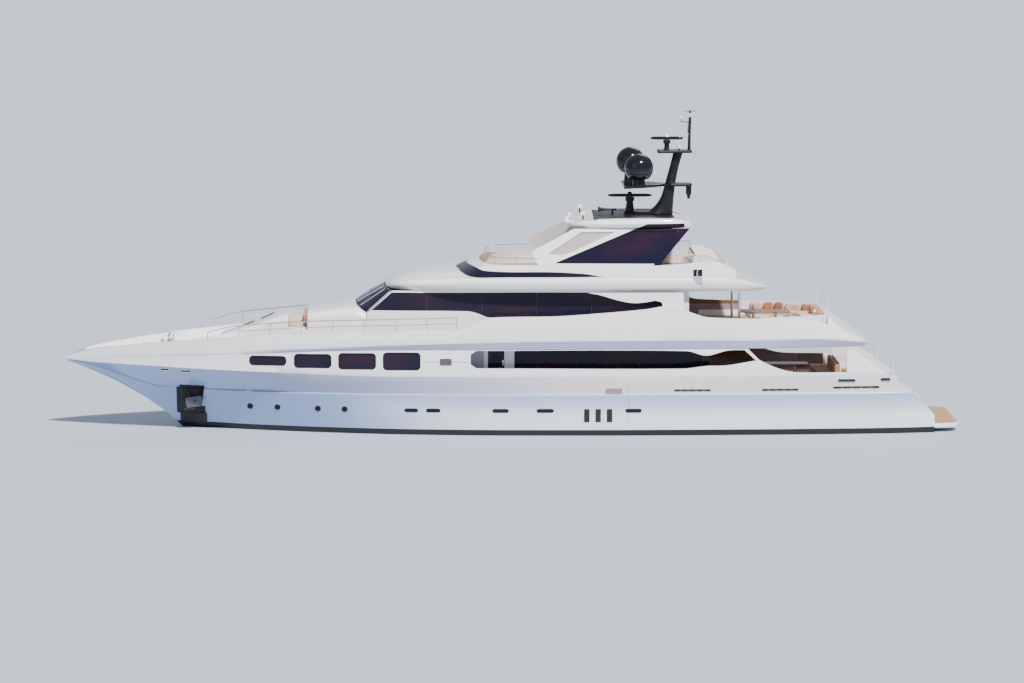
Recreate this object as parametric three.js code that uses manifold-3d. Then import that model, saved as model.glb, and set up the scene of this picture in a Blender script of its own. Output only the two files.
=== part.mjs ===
// Motor yacht of 46 m, as a model at half its size: +X to the bow, +Y to port, +Z up,
// origin amidships on the centreline at the waterline. Lengths are written in full-size metres.
import * as THREE from "three";
import { mergeVertices } from "three/addons/utils/BufferGeometryUtils.js";
import Module from "manifold-3d";

const wasm = await Module();
wasm.setup();

// Driving dimensions
const metre = 500; // model millimetres for one full-size metre
const gap = 0.001; // clearance left where two pieces touch
const shellWall = 0.16; // hull side and bulwark thickness
const houseWall = 0.12; // deckhouse wall thickness
const paneWall = 0.06; // window glass thickness
const mainDeck = 2.45; // deck heights above the waterline
const upperDeck = 5.2;
const sunDeck = 8.05;
const deckPlate = 0.15;
const ledge = { depth: 0.1, rise: 0.05, endsAt: 17 }; // step above the lower knuckle
const bowBlock = 13.8; // ahead of this the hull is decked and solid
const hullEnd = -21.6; // foot of the transom
const overhangEnd = -18.4; // tip of the upper deck's overhang

// The hull's sections. Half-breadths y and heights z of: keel, flat, turn of bilge, waterline,
// lower knuckle, upper knuckle, foot of the upper band, its crease and its top edge.
// x, keelZ, flatY, flatZ, turnY, turnZ, waterY, waterZ, lowY, lowZ, kneeY, kneeZ,
// footY, footZ, creaseY, creaseZ, topY, topZ
const hullTable = [
  [-21.6, -0.7, 1.9, -0.6, 3.1, -0.35, 3.35, 0.2, 3.42, 2.1, 3.42, 3.07, 3.4, 4.45, 3.4, 4.9, 3.4, 5.3],
  [-19.5, -0.85, 1.95, -0.75, 3.4, -0.45, 3.7, 0.2, 3.82, 2.1, 3.82, 3.07, 3.8, 4.45, 3.8, 4.9, 3.8, 5.3],
  [-17, -1.15, 2.0, -0.95, 3.55, -0.6, 3.9, 0.2, 4.03, 2.1, 4.06, 3.07, 4.04, 4.46, 4.06, 4.9, 4.06, 5.3],
  [-12, -1.75, 2.1, -1.45, 3.7, -0.9, 4.1, 0.2, 4.25, 2.1, 4.32, 3.07, 4.28, 4.46, 4.34, 4.9, 4.34, 5.3],
  [-6, -2.2, 2.1, -1.85, 3.7, -1.1, 4.18, 0.2, 4.34, 2.1, 4.4, 3.07, 4.32, 4.44, 4.42, 4.9, 4.42, 5.3],
  [0, -2.45, 1.9, -2.05, 3.5, -1.25, 4.05, 0.2, 4.28, 2.1, 4.38, 3.07, 4.3, 4.43, 4.4, 4.85, 4.4, 5.3],
  [5, -2.5, 1.5, -2.2, 3.0, -1.25, 3.6, 0.2, 4.0, 2.1, 4.2, 3.07, 4.16, 4.42, 4.26, 4.7, 4.27, 5.42],
  [10, -2.45, 0.8, -2.2, 1.95, -1.1, 2.55, 0.2, 3.3, 2.1, 3.78, 3.15, 3.8, 4.33, 3.86, 4.5, 3.9, 5.28],
  [13.5, -2.25, 0.35, -1.9, 1.0, -0.8, 1.45, 0.2, 2.35, 2.1, 3.2, 3.25, 3.26, 4.13, 3.32, 4.28, 3.38, 5.04],
  [16, -0.9, 0.12, -0.6, 0.35, -0.1, 0.52, 0.25, 1.35, 2.1, 2.65, 3.3, 2.7, 3.98, 2.78, 4.12, 2.84, 4.82],
  [18, 0.85, 0.12, 1.05, 0.28, 1.35, 0.42, 1.6, 0.72, 2.15, 2.05, 3.36, 2.1, 3.9, 2.15, 4.02, 2.2, 4.64],
  [19.8, 2.03, 0.15, 2.15, 0.3, 2.3, 0.42, 2.45, 0.55, 2.62, 1.48, 3.4, 1.52, 3.8, 1.56, 3.92, 1.6, 4.42],
  [21.5, 2.87, 0.12, 2.94, 0.22, 3.02, 0.3, 3.1, 0.4, 3.2, 0.78, 3.42, 0.82, 3.66, 0.85, 3.76, 0.88, 4.18],
  [23, 3.46, 0.03, 3.48, 0.05, 3.5, 0.07, 3.52, 0.09, 3.54, 0.11, 3.57, 0.12, 3.6, 0.12, 3.63, 0.12, 3.68],
];

// The upper band, which is the upper deck's bulwark.
// x, footZ, footY, creaseZ, creaseY, topZ, topY
const bandTable = [
  [-18.4, 4.22, 0.7, 4.36, 0.78, 4.44, 0.6],
  [-18.1, 4.26, 1.5, 4.5, 1.62, 4.62, 1.4],
  [-17.4, 4.33, 2.4, 4.68, 2.52, 5.0, 2.3],
  [-16.3, 4.4, 3.15, 4.84, 3.27, 5.5, 3.1],
  [-14.5, 4.45, 3.85, 4.94, 3.96, 5.95, 3.88],
  [-12, 4.46, 4.28, 4.95, 4.34, 6.0, 4.3],
  [-9.9, 4.45, 4.3, 4.94, 4.4, 6.07, 4.36],
  [-9.1, 4.45, 4.3, 4.93, 4.4, 6.3, 4.36],
  [-8, 4.44, 4.31, 4.91, 4.41, 6.68, 4.36],
  [-6.7, 4.44, 4.32, 4.9, 4.42, 6.5, 4.37],
  [-4.4, 4.44, 4.32, 4.88, 4.42, 6.3, 4.38],
  [-2, 4.43, 4.32, 4.87, 4.42, 6.15, 4.39],
  [1.1, 4.43, 4.29, 4.83, 4.38, 6.1, 4.36],
  [1.55, 4.43, 4.28, 4.82, 4.37, 5.98, 4.35],
  [2.1, 4.42, 4.26, 4.8, 4.35, 5.64, 4.34],
  [2.6, 4.42, 4.24, 4.78, 4.34, 5.5, 4.33],
  [5, 4.42, 4.16, 4.7, 4.26, 5.42, 4.27],
  [10, 4.33, 3.8, 4.5, 3.86, 5.28, 3.9],
  [13.8, 4.112, 3.193, 4.261, 3.255, 5.014, 3.315],
];

// Top of the foredeck and upper deck along the ship: x, z
const deckLine = [
  [-19, 5.2],
  [4, 5.2],
  [7, 5.1],
  [11, 4.85],
  [13.8, 4.62],
  [18.5, 4.1],
  [21.3, 3.86],
  [23, 3.8],
];

const paint = {
  white: { color: 0xf2f2f4, roughness: 0.25, metalness: 0 },
  glass: { color: 0x10141c, roughness: 0.08, metalness: 0 },
  black: { color: 0x0b0c0f, roughness: 0.2, metalness: 0 },
  teak: { color: 0x9c6b42, roughness: 0.7, metalness: 0 },
  steel: { color: 0xc8ccd0, roughness: 0.25, metalness: 1 },
  bronze: { color: 0xa8803c, roughness: 0.35, metalness: 1 },
  cushion: { color: 0x8a4a36, roughness: 0.9, metalness: 0 },
  iron: { color: 0x6b7078, roughness: 0.6, metalness: 0.4 },
};

// Joining and cutting
function solidOf(geometry) {
  const bare = new THREE.BufferGeometry();
  bare.setAttribute("position", geometry.getAttribute("position").clone());
  if (geometry.index) bare.setIndex(geometry.index.clone());
  const merged = mergeVertices(bare, 1e-5);
  const vertProperties = Float32Array.from(merged.getAttribute("position").array, (v) => v * metre);
  const triVerts = Uint32Array.from(merged.index.array);
  return new wasm.Manifold(new wasm.Mesh({ numProp: 3, vertProperties, triVerts }));
}

function geometryOf(solid) {
  const mesh = solid.getMesh();
  const geometry = new THREE.BufferGeometry();
  geometry.setAttribute("position", new THREE.BufferAttribute(mesh.vertProperties, 3));
  geometry.setIndex(new THREE.BufferAttribute(mesh.triVerts, 1));
  geometry.computeVertexNormals();
  return geometry;
}

function joined(...solids) {
  return solids.reduce((all, next) => all.add(next));
}

function without(solid, ...cutters) {
  return cutters.reduce((rest, cutter) => rest.subtract(cutter), solid);
}

// Turns a list of points and faces the right way out and makes it a solid
function closedSolid(points, faces) {
  const volume = faces.reduce((sum, [a, b, c]) => {
    const cross = new THREE.Vector3().crossVectors(points[b], points[c]);
    return sum + points[a].dot(cross);
  }, 0);
  const outward = volume > 0 ? faces : faces.map(([a, b, c]) => [a, c, b]);
  const geometry = new THREE.BufferGeometry().setFromPoints(points);
  geometry.setIndex(outward.flat());
  return solidOf(geometry);
}

const turnOf = ([ax, ay], [bx, by], [cx, cy]) => (bx - ax) * (cy - ay) - (by - ay) * (cx - ax);

// Splits a flat outline into triangles that keep its direction and use all of its points
function capFaces(outline) {
  const around = outline.reduce((sum, p, i) => {
    const [x, y] = outline[(i + 1) % outline.length];
    return sum + p[0] * y - p[1] * x;
  }, 0);
  const sign = Math.sign(around);
  const left = outline.map((_, i) => i);
  const faces = [];
  while (left.length > 2) {
    const ear = left.findIndex((b, i) => {
      const a = left[(i + left.length - 1) % left.length];
      const c = left[(i + 1) % left.length];
      const [pa, pb, pc] = [outline[a], outline[b], outline[c]];
      if (turnOf(pa, pb, pc) * sign < 1e-9) return false;
      return left.every((k) => {
        if (k === a || k === b || k === c) return true;
        const p = outline[k];
        return [[pa, pb], [pb, pc], [pc, pa]].some(([u, v]) => turnOf(u, v, p) * sign < -1e-9);
      });
    });
    if (ear < 0) throw new Error("an outline crosses itself");
    const before = left[(ear + left.length - 1) % left.length];
    faces.push([before, left[ear], left[(ear + 1) % left.length]]);
    left.splice(ear, 1);
  }
  return faces;
}

// A body through closed outlines of equal length, capped at both ends. Each side face is split
// along its shorter diagonal, so port and starboard match.
function loft(outlines, capAxes = ["y", "z"]) {
  const count = outlines[0].length;
  const points = outlines.flat();
  const faces = [];
  for (let s = 0; s < outlines.length - 1; s += 1) {
    for (let i = 0; i < count; i += 1) {
      const a = s * count + i;
      const b = s * count + ((i + 1) % count);
      const rising = points[a].distanceTo(points[b + count]);
      const falling = points[b].distanceTo(points[a + count]);
      if (rising < falling) faces.push([a, b, b + count], [a, b + count, a + count]);
      else faces.push([a, b, a + count], [b, b + count, a + count]);
    }
  }
  const last = (outlines.length - 1) * count;
  for (const [a, b, c] of capFaces(outlines[0].map((p) => [p[capAxes[0]], p[capAxes[1]]]))) {
    faces.push([c, b, a]);
  }
  for (const [a, b, c] of capFaces(outlines[outlines.length - 1].map((p) => [p[capAxes[0]], p[capAxes[1]]]))) {
    faces.push([last + a, last + b, last + c]);
  }
  return closedSolid(points, faces);
}

// A flat outline drawn out along one axis: "z" takes [x, y], "y" takes [x, z], "x" takes [y, z]
function drawn(axis, outline, from, to) {
  const at = {
    z: ([x, y], d) => new THREE.Vector3(x, y, d),
    y: ([x, z], d) => new THREE.Vector3(x, d, z),
    x: ([y, z], d) => new THREE.Vector3(d, y, z),
  }[axis];
  const capAxes = { z: ["x", "y"], y: ["x", "z"], x: ["y", "z"] }[axis];
  return loft([outline.map((p) => at(p, from)), outline.map((p) => at(p, to))], capAxes);
}

function box(x0, x1, y0, y1, z0, z1) {
  return drawn("z", [[x0, y0], [x1, y0], [x1, y1], [x0, y1]], z0, z1);
}

// A round bar, or a cone, between two points
function bar(from, to, radius, endRadius = radius, sides = 8) {
  const start = new THREE.Vector3(...from);
  const end = new THREE.Vector3(...to);
  const along = end.clone().sub(start);
  const geometry = new THREE.CylinderGeometry(endRadius, radius, along.length(), sides);
  geometry.translate(0, along.length() / 2, 0);
  const turn = new THREE.Quaternion().setFromUnitVectors(new THREE.Vector3(0, 1, 0), along.normalize());
  geometry.applyQuaternion(turn);
  geometry.translate(start.x, start.y, start.z);
  return solidOf(geometry);
}

// A rail or pipe through several points, with a ball at each bend
function pipe(points, radius, sides = 6) {
  const pieces = points.slice(1).map((p, i) => bar(points[i], p, radius, radius, sides));
  const knots = points.slice(1, -1).map((p) => {
    const ball = new THREE.IcosahedronGeometry(radius * 1.12, 0);
    return solidOf(ball.translate(...p));
  });
  return joined(...pieces, ...knots);
}

// The same solid on the other side of the ship
function mirrored(solid) {
  const mesh = solid.getMesh();
  const vertProperties = Float32Array.from(mesh.vertProperties, (v, i) => (i % 3 === 1 ? -v : v));
  const triVerts = Uint32Array.from(mesh.triVerts);
  for (let i = 0; i < triVerts.length; i += 3) {
    const second = triVerts[i + 1];
    triVerts[i + 1] = triVerts[i + 2];
    triVerts[i + 2] = second;
  }
  return new wasm.Manifold(new wasm.Mesh({ numProp: 3, vertProperties, triVerts }));
}

// Reads a table between its rows
function between(table, x) {
  const rows = [...table].sort((a, b) => a[0] - b[0]);
  if (x <= rows[0][0]) return rows[0];
  const next = rows.findIndex((row) => row[0] >= x);
  if (next < 0) return rows[rows.length - 1];
  const [low, high] = [rows[next - 1], rows[next]];
  const part = (x - low[0]) / (high[0] - low[0]);
  return low.map((v, i) => v + part * (high[i] - v));
}

const deckAt = (x) => between(deckLine, x)[1];

// Everything below the foredeck and upper deck, to trim what stands on them
function underDeck() {
  const rows = deckLine.filter(([x]) => x > 3.9 && x < 22);
  return loft(rows.map(([x, z]) => across(x, [[5, 0], [5, z + gap]])));
}

// A closed outline across the ship from its port half, listed from the keel upwards
function across(x, half) {
  const port = half.map(([y, z]) => new THREE.Vector3(x, y, z));
  const starboard = half.map(([y, z]) => new THREE.Vector3(x, -y, z)).reverse();
  const middle = half[0][0] === 0 ? 1 : 0;
  return [...port, ...starboard.slice(0, starboard.length - middle)];
}

function hullHalf(x, inset) {
  const [, keel, ...pairs] = between(hullTable, x);
  const half = [[0, keel + inset]];
  for (let i = 0; i < pairs.length; i += 2) {
    const y = Math.max(pairs[i] - inset, 0.01 * (i / 2 + 1));
    half.push([y, pairs[i + 1] + (i < 4 ? inset : 0)]);
    if (i === 6) half.push([y - ledge.depth * Math.min(1, Math.max(0.1, (ledge.endsAt - x) / 4)), pairs[i + 1] + ledge.rise]);
  }
  return half;
}

// The hull's form, or one set in from it, which ends short of the narrow bow
function hullBody(inset = 0) {
  const rows = hullTable.map((row) => row[0]).filter((x) => inset <= 0 || x < 17);
  return loft(rows.map((x) => across(x, hullHalf(x, inset))));
}

function bandBody(inset, fromZ, toZ) {
  const rows = bandTable.map((row) => row[0]).filter((x) => x > overhangEnd + inset || inset === 0);
  if (inset > 0) rows.unshift(overhangEnd + inset * 2.2);
  return loft(
    rows.map((x) => {
      const [, footZ, footY, creaseZ, creaseY, topZ, topY] = between(bandTable, x);
      const low = fromZ ? fromZ(x) : footZ;
      const high = toZ ? toZ(x) : topZ;
      const middle = fromZ ? (low + high) / 2 : creaseZ;
      return across(x, [[footY - inset, low], [creaseY - inset, middle], [topY - inset, high]]);
    }),
  );
}

// Hull with the stern garage, engine room, stairs and anchor pockets cut out
const garage = { x0: -20.9, x1: -16.9, y: 1.7, z0: 0.5, z1: 2.2 };
const engineRoom = { x0: -10.5, x1: -3.5, y: 2.7, z0: -1.1, z1: 2.4 };
const platformTop = 0.45;
const transomLine = [[-18.7, 2.6], [-21.3, 0.45]]; // slope of the transom between the stairs
const stairSteps = 8;
const stairY = [2.05, 3.1]; // inner and outer side of each stair
const quarterLine = [[-17.15, 4.6], [-18.4, 3.6], [-19.4, 2.9], [-20.3, 2.2], [-21.1, 1.45], [-21.6, 0.9]];

function stairCut() {
  const run = (hullEnd + 18.6) / stairSteps;
  const rise = (mainDeck - platformTop) / stairSteps;
  const steps = [];
  for (let i = 0; i < stairSteps; i += 1) {
    const tread = mainDeck - (i + 1) * rise;
    steps.push([-18.6 + i * run, tread], [-18.6 + (i + 1) * run, tread]);
  }
  return drawn("y", [[-18.6, 5], ...steps, [-23, platformTop], [-23, 5]], stairY[0], stairY[1]);
}

function transomCut() {
  const [top, foot] = transomLine;
  return drawn("y", [[top[0], 6], top, foot, [-23, foot[1]], [-23, 6]], -stairY[0] + 0.25, stairY[0] - 0.25);
}

function quarterCut() {
  return drawn("y", [[-17.15, 6], ...quarterLine, [-23, 0.9], [-23, 6]], -5, 5);
}

function anchorPocket() {
  return drawn("y", [[17.3, 0.75], [16.1, 0.75], [15.85, 2.3], [17.15, 2.3]], 0.95, 3.5);
}

function hull() {
  const bowWell = loft(
    [22, 21.3, 19.8, 18.5, 18, 16, bowBlock - 0.3].map((x) => {
      const half = between(hullTable, x);
      const deck = deckAt(x);
      return across(x, [[half[12] - 0.16, deck], [half[14] - 0.16, deck + 0.2], [half[16] - 0.12, 6]]);
    }),
  );
  const above = box(-23, bowBlock, -6, 6, mainDeck - deckPlate - gap, 8);
  const open = box(garage.x0 - 2, garage.x1, -garage.y, garage.y, garage.z0, garage.z1);
  const engines = box(engineRoom.x0, engineRoom.x1, -engineRoom.y, engineRoom.y, engineRoom.z0, 3);
  const stairs = stairCut();
  const pocket = anchorPocket();
  const body = without(hullBody(), above, bowWell, transomCut(), quarterCut(), stairs, mirrored(stairs));
  return without(body, open, engines, pocket, mirrored(pocket));
}

function mainDeckPlate() {
  const plate = box(-18.6, bowBlock - gap, -6, 6, mainDeck - deckPlate, mainDeck);
  return plate.intersect(hullBody(shellWall + gap));
}

// Side shells between the main deck and the upper band
const shellWindows = [
  // aft end, forward end, sill, head
  [11.6, 13.45, 3.6, 4.05],
  [9.3, 11.16, 3.5, 4.18],
  [7.03, 8.9, 3.45, 4.24],
  [4.77, 6.63, 3.42, 4.28],
];
const sideOpening = [
  [1.9, 3.5], [-8.6, 3.45], [-9.8, 3.58], [-10.8, 3.6], [-12.35, 3.85], [-11.75, 4.4],
  [-10.9, 4.38], [-9.8, 4.12], [-8.8, 4.36], [1.9, 4.4], [2.2, 4.2], [2.2, 3.7],
];
const aftOpening = [[-12.5, 3.88], [-14.2, 3.25], [-17, 3.2], [-17, 6], [-11.95, 6], [-11.95, 4.44]];

function roundedWindow([x0, x1, z0, z1]) {
  const r = 0.18;
  return [
    [x0 + r, z0], [x1 - r, z0], [x1, z0 + r], [x1, z1 - r],
    [x1 - r, z1], [x0 + r, z1], [x0, z1 - r], [x0, z0 + r],
  ];
}

function sideShell() {
  const band = bandBody(-1, (x) => between(bandTable, x)[1] - gap, () => 8);
  const ring = without(hullBody(), hullBody(shellWall));
  const keep = box(hullEnd - 1, bowBlock - gap, 0.5, 6, mainDeck - deckPlate, 8);
  const clear = box(hullEnd - 1, bowBlock - gap * 2, 0, 6, 4.5, 8);
  const cuts = [sideOpening, aftOpening, ...shellWindows.map(roundedWindow)];
  const body = without(ring, band, clear, quarterCut(), ...cuts.map((cut) => drawn("y", cut, 1, 6)));
  const transomSide = box(-23, -21.45, 0, 6, 0, 8);
  return without(body, transomSide).intersect(keep);
}

// Panes of the forward windows, on one strip behind the shell
function cabinWindows() {
  const strip = [[4.6, 3.36], [13.55, 3.5], [13.55, 4.1], [4.6, 4.33]];
  const backing = without(hullBody(shellWall + gap), hullBody(shellWall + 0.05)).intersect(drawn("y", strip, 1, 6));
  const panes = shellWindows.map(([x0, x1, z0, z1]) =>
    drawn("y", roundedWindow([x0 + 0.005, x1 - 0.005, z0 + 0.005, z1 - 0.005]), 1, 6));
  const skin = without(hullBody(0.03), hullBody(shellWall + 0.04));
  return joined(backing, ...panes.map((pane) => skin.intersect(pane)));
}

// Upper band, split on the centreline, with the wing that rises from it to the roof
const wing = [
  [-7.5, 6.3], [-8.7, 6.3], [-8.62, 7.33], [-3.8, 7.33], [-4.4, 7.22],
  [-5.2, 6.98], [-6, 6.82], [-6.6, 6.84], [-7.2, 6.94], [-7.55, 6.8],
];

const bulwarkJoint = -9; // where the after bulwark meets those of the sides

function bulwarkRing() {
  return without(bandBody(0), bandBody(shellWall, () => 3, () => 8));
}

function upperBulwark() {
  const band = bulwarkRing().intersect(box(bulwarkJoint, bowBlock - gap, gap, 6, 3, 8));
  return joined(band, drawn("y", wing, 4.08, 4.24));
}

// Sloping tail that closes the upper deck aft
const tail = { x0: -16.15, z0: 5.95, x1: -18.35, z1: 4.5, thick: 0.12 };
const tailTop = (x) => tail.z0 + ((x - tail.x0) * (tail.z1 - tail.z0)) / (tail.x1 - tail.x0);

function deckTail() {
  const slope = loft([tail.x0, -16.6, -17.1, -17.6, -18.1, tail.x1].map((x) => {
    const [, footZ, , , , topZ, topY] = between(bandTable, x);
    return across(x, [[topY - 0.05, footZ], [topY - 0.05, topZ - 0.02], [topY * 0.75, tailTop(x)]]);
  }));
  const foot = tail.x0 - ((tail.z0 - tail.thick - upperDeck) * (tail.x0 - tail.x1)) / (tail.z0 - tail.z1);
  const under = [[-15, upperDeck + gap], [foot, upperDeck + gap], [-19, tailTop(-19) - tail.thick + gap], [-19, 3], [-15, 3]];
  return without(slope, drawn("y", under, -6, 6));
}

function afterBulwark() {
  const ring = bulwarkRing().intersect(box(-20, bulwarkJoint - gap, -6, 6, 3, 8));
  return joined(ring, deckTail());
}

function upperDeckPlate() {
  const rows = [-19, 4, 7, 11, 13.8 - gap];
  const slab = loft(rows.map((x) => across(x, [[5, deckAt(x) - 0.35], [5, deckAt(x)]])));
  const over = [[-16, 7], [-16, tailTop(-16) - tail.thick], [-19, tailTop(-19) - tail.thick], [-19, 7]];
  return without(slab.intersect(bandBody(shellWall + gap, () => 3, () => 8)), drawn("y", over, -6, 6));
}

// Raised trunk on the foredeck: x, half-breadth, top
const trunkTable = [
  [7.46, 2.68, 6.24],
  [8.1, 2.62, 6.46],
  [10, 2.3, 6.24],
  [11.7, 1.9, 6.02],
  [13.2, 1.45, 5.45],
  [15, 0.85, 4.85],
];
const seatWell = { x0: 10.5, x1: 11.5, z: 5.25 }; // open to both sides

function foredeckTrunk(extra = 0) {
  const body = loft(
    trunkTable.map(([x, y, height]) => {
      const top = height + extra;
      const deck = deckAt(x);
      const high = top - deck;
      return across(x, [[y, deck - 0.2], [y - 0.06, deck + high * 0.7], [y * 0.86, deck + high * 0.93], [y * 0.3, top]]);
    }),
  );
  return without(body, underDeck(), box(seatWell.x0, seatWell.x1, -4, 4, seatWell.z, 8));
}

function foredeckSeat() {
  const aft = seatWell.x0 + 0.02;
  const foot = seatWell.z + gap;
  return joined(box(aft, seatWell.x1 - 0.02, -1.8, 1.8, foot, 5.6), box(aft, aft + 0.2, -1.6, 1.6, foot, 6.0));
}

// Saloon on the main deck, behind the side decks
const saloon = { y: 3.2, x0: -9.9, x1: 2.35, sill: 3.0, head: 4.3, glassFrom: -9.6, glassTo: -0.1 };
const sideDoor = { x0: 0.45, x1: 1.3, z0: mainDeck + 0.02, z1: 4.5 };
const ceiling = upperDeck - 0.35;

function saloonWall() {
  const { y, x0, x1, sill, head, glassFrom, glassTo } = saloon;
  const wall = box(x0, x1, y - houseWall, y, mainDeck + gap, ceiling - gap);
  const forward = box(x1, x1 + houseWall, y - houseWall, 3.86, mainDeck + gap, 4.4);
  const window = drawn("y", roundedWindow([glassFrom, glassTo, sill, head]), 2, 5);
  const door = box(sideDoor.x0, sideDoor.x1, 2, 5, sideDoor.z0, sideDoor.z1);
  return without(joined(wall, forward), window, door);
}

function saloonGlass() {
  const { y, sill, head, glassFrom, glassTo } = saloon;
  const pane = [glassFrom + gap, glassTo - gap, sill + gap, head - gap];
  return drawn("y", roundedWindow(pane), y - houseWall / 2 - paneWall / 2, y - houseWall / 2 + paneWall / 2);
}

function sideDoorLeaf() {
  const slack = 0.012;
  return box(
    sideDoor.x0 + slack, sideDoor.x1 - slack, saloon.y - 0.06, saloon.y,
    sideDoor.z0 + slack, sideDoor.z1 - slack,
  );
}

// Sliding doors across the after end of a house
function aftFrame(x, halfWidth, floor, head, opening) {
  const wall = box(x - houseWall, x, -halfWidth, halfWidth, floor + gap, head - gap);
  return without(wall, box(x - 1, x + 1, -opening, opening, floor + 0.02, head - 0.25));
}

function slidingLeaf(x, y0, y1, floor, head) {
  return box(x - 0.05, x, y0, y1, floor + 0.03, head);
}

// House on the upper deck: side wall, long window and windscreen
const upperHouse = { y: 3.25, x0: -8.85 };
const upperWindow = [
  [7.25, 6.31], [2.4, 6.31], [1.9, 6.22], [1.2, 5.98], [-2.5, 5.98], [-5, 6.1], [-7.6, 6.4], [-8.1, 6.8],
  [-7.7, 7.0], [-6.3, 7.1], [-4, 7.25], [6.2, 7.25],
];
// plan of the house's port side, from aft to the corner of the windscreen: x, y
const housePlan = [[-8.85, 3.3], [1.5, 3.3], [4.6, 3.15], [7.455, 2.7]];
const roofUnder = 7.34;
const cornerLine = [[7.36, 6.25], [6.2, roofUnder]]; // slope of the front corner: x, z

function alongPlan(plan, thick, z0, z1) {
  const inner = plan.map(([x, y]) => [x, y - thick]).reverse();
  return drawn("z", [...plan, ...inner], z0, z1);
}

// What lies ahead of the sloping front corner
function aheadOfCorner(slack) {
  const [foot, head] = cornerLine;
  return drawn(
    "y",
    [
      [8, 5], [8, 6.18], [foot[0] - slack, foot[1]], [head[0] - slack, head[1]], [head[0] - slack, 9], [12, 9], [12, 5],
    ],
    2, 5,
  );
}

function upperWall() {
  const wall = alongPlan(housePlan, houseWall, upperDeck - 0.2, roofUnder - gap);
  return without(wall, drawn("y", upperWindow, 2, 5), underDeck(), box(-9, 4.5, 2, 5, 4, upperDeck + gap),
    aheadOfCorner(0.02));
}

function upperGlass() {
  const middle = [-1, 6.7];
  const smaller = upperWindow.map(([x, z]) => [
    middle[0] + (x - middle[0]) * 0.9995, middle[1] + (z - middle[1]) * 0.996,
  ]);
  const inner = housePlan.map(([x, y]) => [x, y - 0.03]);
  const pane = alongPlan(inner, paneWall, 5.5, roofUnder - 0.02);
  return without(pane.intersect(drawn("y", smaller, 2, 5)), aheadOfCorner(0.03));
}

function windscreen() {
  // x, y, z of the base and of the top edge, from the port corner to the middle
  const base = [[7.37, 2.57, 6.26], [7.75, 2.0, 6.4], [7.98, 1.0, 6.5], [8.04, 0, 6.53]];
  const top = [[6.2, 2.74, roofUnder - gap], [6.4, 2.05, 7.36], [6.5, 1.0, 7.4], [6.52, 0, 7.42]];
  const whole = (side) => [...side, ...side.slice(0, -1).map(([x, y, z]) => [x, -y, z]).reverse()];
  const ring = (side, thick) => [
    ...whole(side).map((p) => new THREE.Vector3(...p)),
    ...whole(side).reverse().map(([x, y, z]) => new THREE.Vector3(x - thick, y, z)),
  ];
  const body = loft([ring(base, 0.14), ring(top, 0.1)], ["x", "y"]);
  const roofLine = box(0, 9, -4, 4, roofUnder - gap, 9);
  return without(body, foredeckTrunk(gap), roofLine);
}

// Sun deck roof: x, under half-breadth, crease half-breadth, crease height, edge height, middle height
const roofTable = [
  [6.5, 0.9, 1.0, 7.42, 7.48, 7.52],
  [6.2, 1.75, 1.95, 7.5, 7.62, 7.74],
  [5.6, 2.55, 2.75, 7.58, 7.78, 7.98],
  [4.6, 3.1, 3.35, 7.66, 7.92, 8.18],
  [3.0, 3.5, 3.78, 7.74, 8.02, 8.3],
  [1.6, 3.7, 3.95, 7.78, 8.05, 8.05],
  [-1, 3.8, 4.05, 7.8, 8.05, 8.05],
  [-5, 3.82, 4.07, 7.8, 8.05, 8.05],
  [-9, 3.72, 3.95, 7.8, 8.05, 8.05],
  [-10.6, 3.4, 3.62, 7.78, 8.05, 8.05],
  [-11.6, 2.85, 3.05, 7.66, 7.86, 7.88],
  [-12.5, 1.95, 2.12, 7.46, 7.56, 7.58],
  [-13.1, 0.9, 1.0, 7.28, 7.32, 7.34],
];

function sunDeckRoof() {
  const slab = loft(
    roofTable.map(([x, underY, creaseY, creaseZ, edgeZ, middleZ]) => {
      const under = x < -10 ? roofUnder + (x + 10) * 0.05 : roofUnder;
      return across(x, [[underY, under], [creaseY, creaseZ], [creaseY - 0.1, edgeZ], [creaseY * 0.3, middleZ]]);
    }),
  );
  const pillars = [-1, 1].map((side) => bar([-11.6, side * 2.55, upperDeck + gap], [-11.6, side * 2.55, 7.5], 0.09));
  return joined(slab, ...pillars);
}

// Sun deck coaming: plan of its port half from aft to the nose, at its foot and at its head.
// footX, footY, headX, headY
const coamingPlan = [
  [-11.4, 3.02, -11.4, 2.9],
  [-10.6, 3.45, -10.6, 3.35],
  [-9, 3.8, -9, 3.7],
  [-5, 3.94, -5, 3.78],
  [-1.5, 3.9, -1.6, 3.74],
  [0.9, 3.76, 0.2, 3.55],
  [2.15, 3.45, 0.85, 3.3],
  [2.8, 2.9, 1.2, 2.75],
  [3.6, 1.5, 1.42, 1.4],
  [3.9, 0, 1.5, 0],
];
const coamingFoot = 7.9;
const coamingHead = 8.85;
const coamingTop = [
  [-11.4, 8.3], [-10.9, 8.62], [-10.4, 8.8], [-9.5, 8.82], [-8.6, 8.74], [-6.7, 8.66], [-2.2, 8.7], [1.9, 8.7],
];

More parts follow.
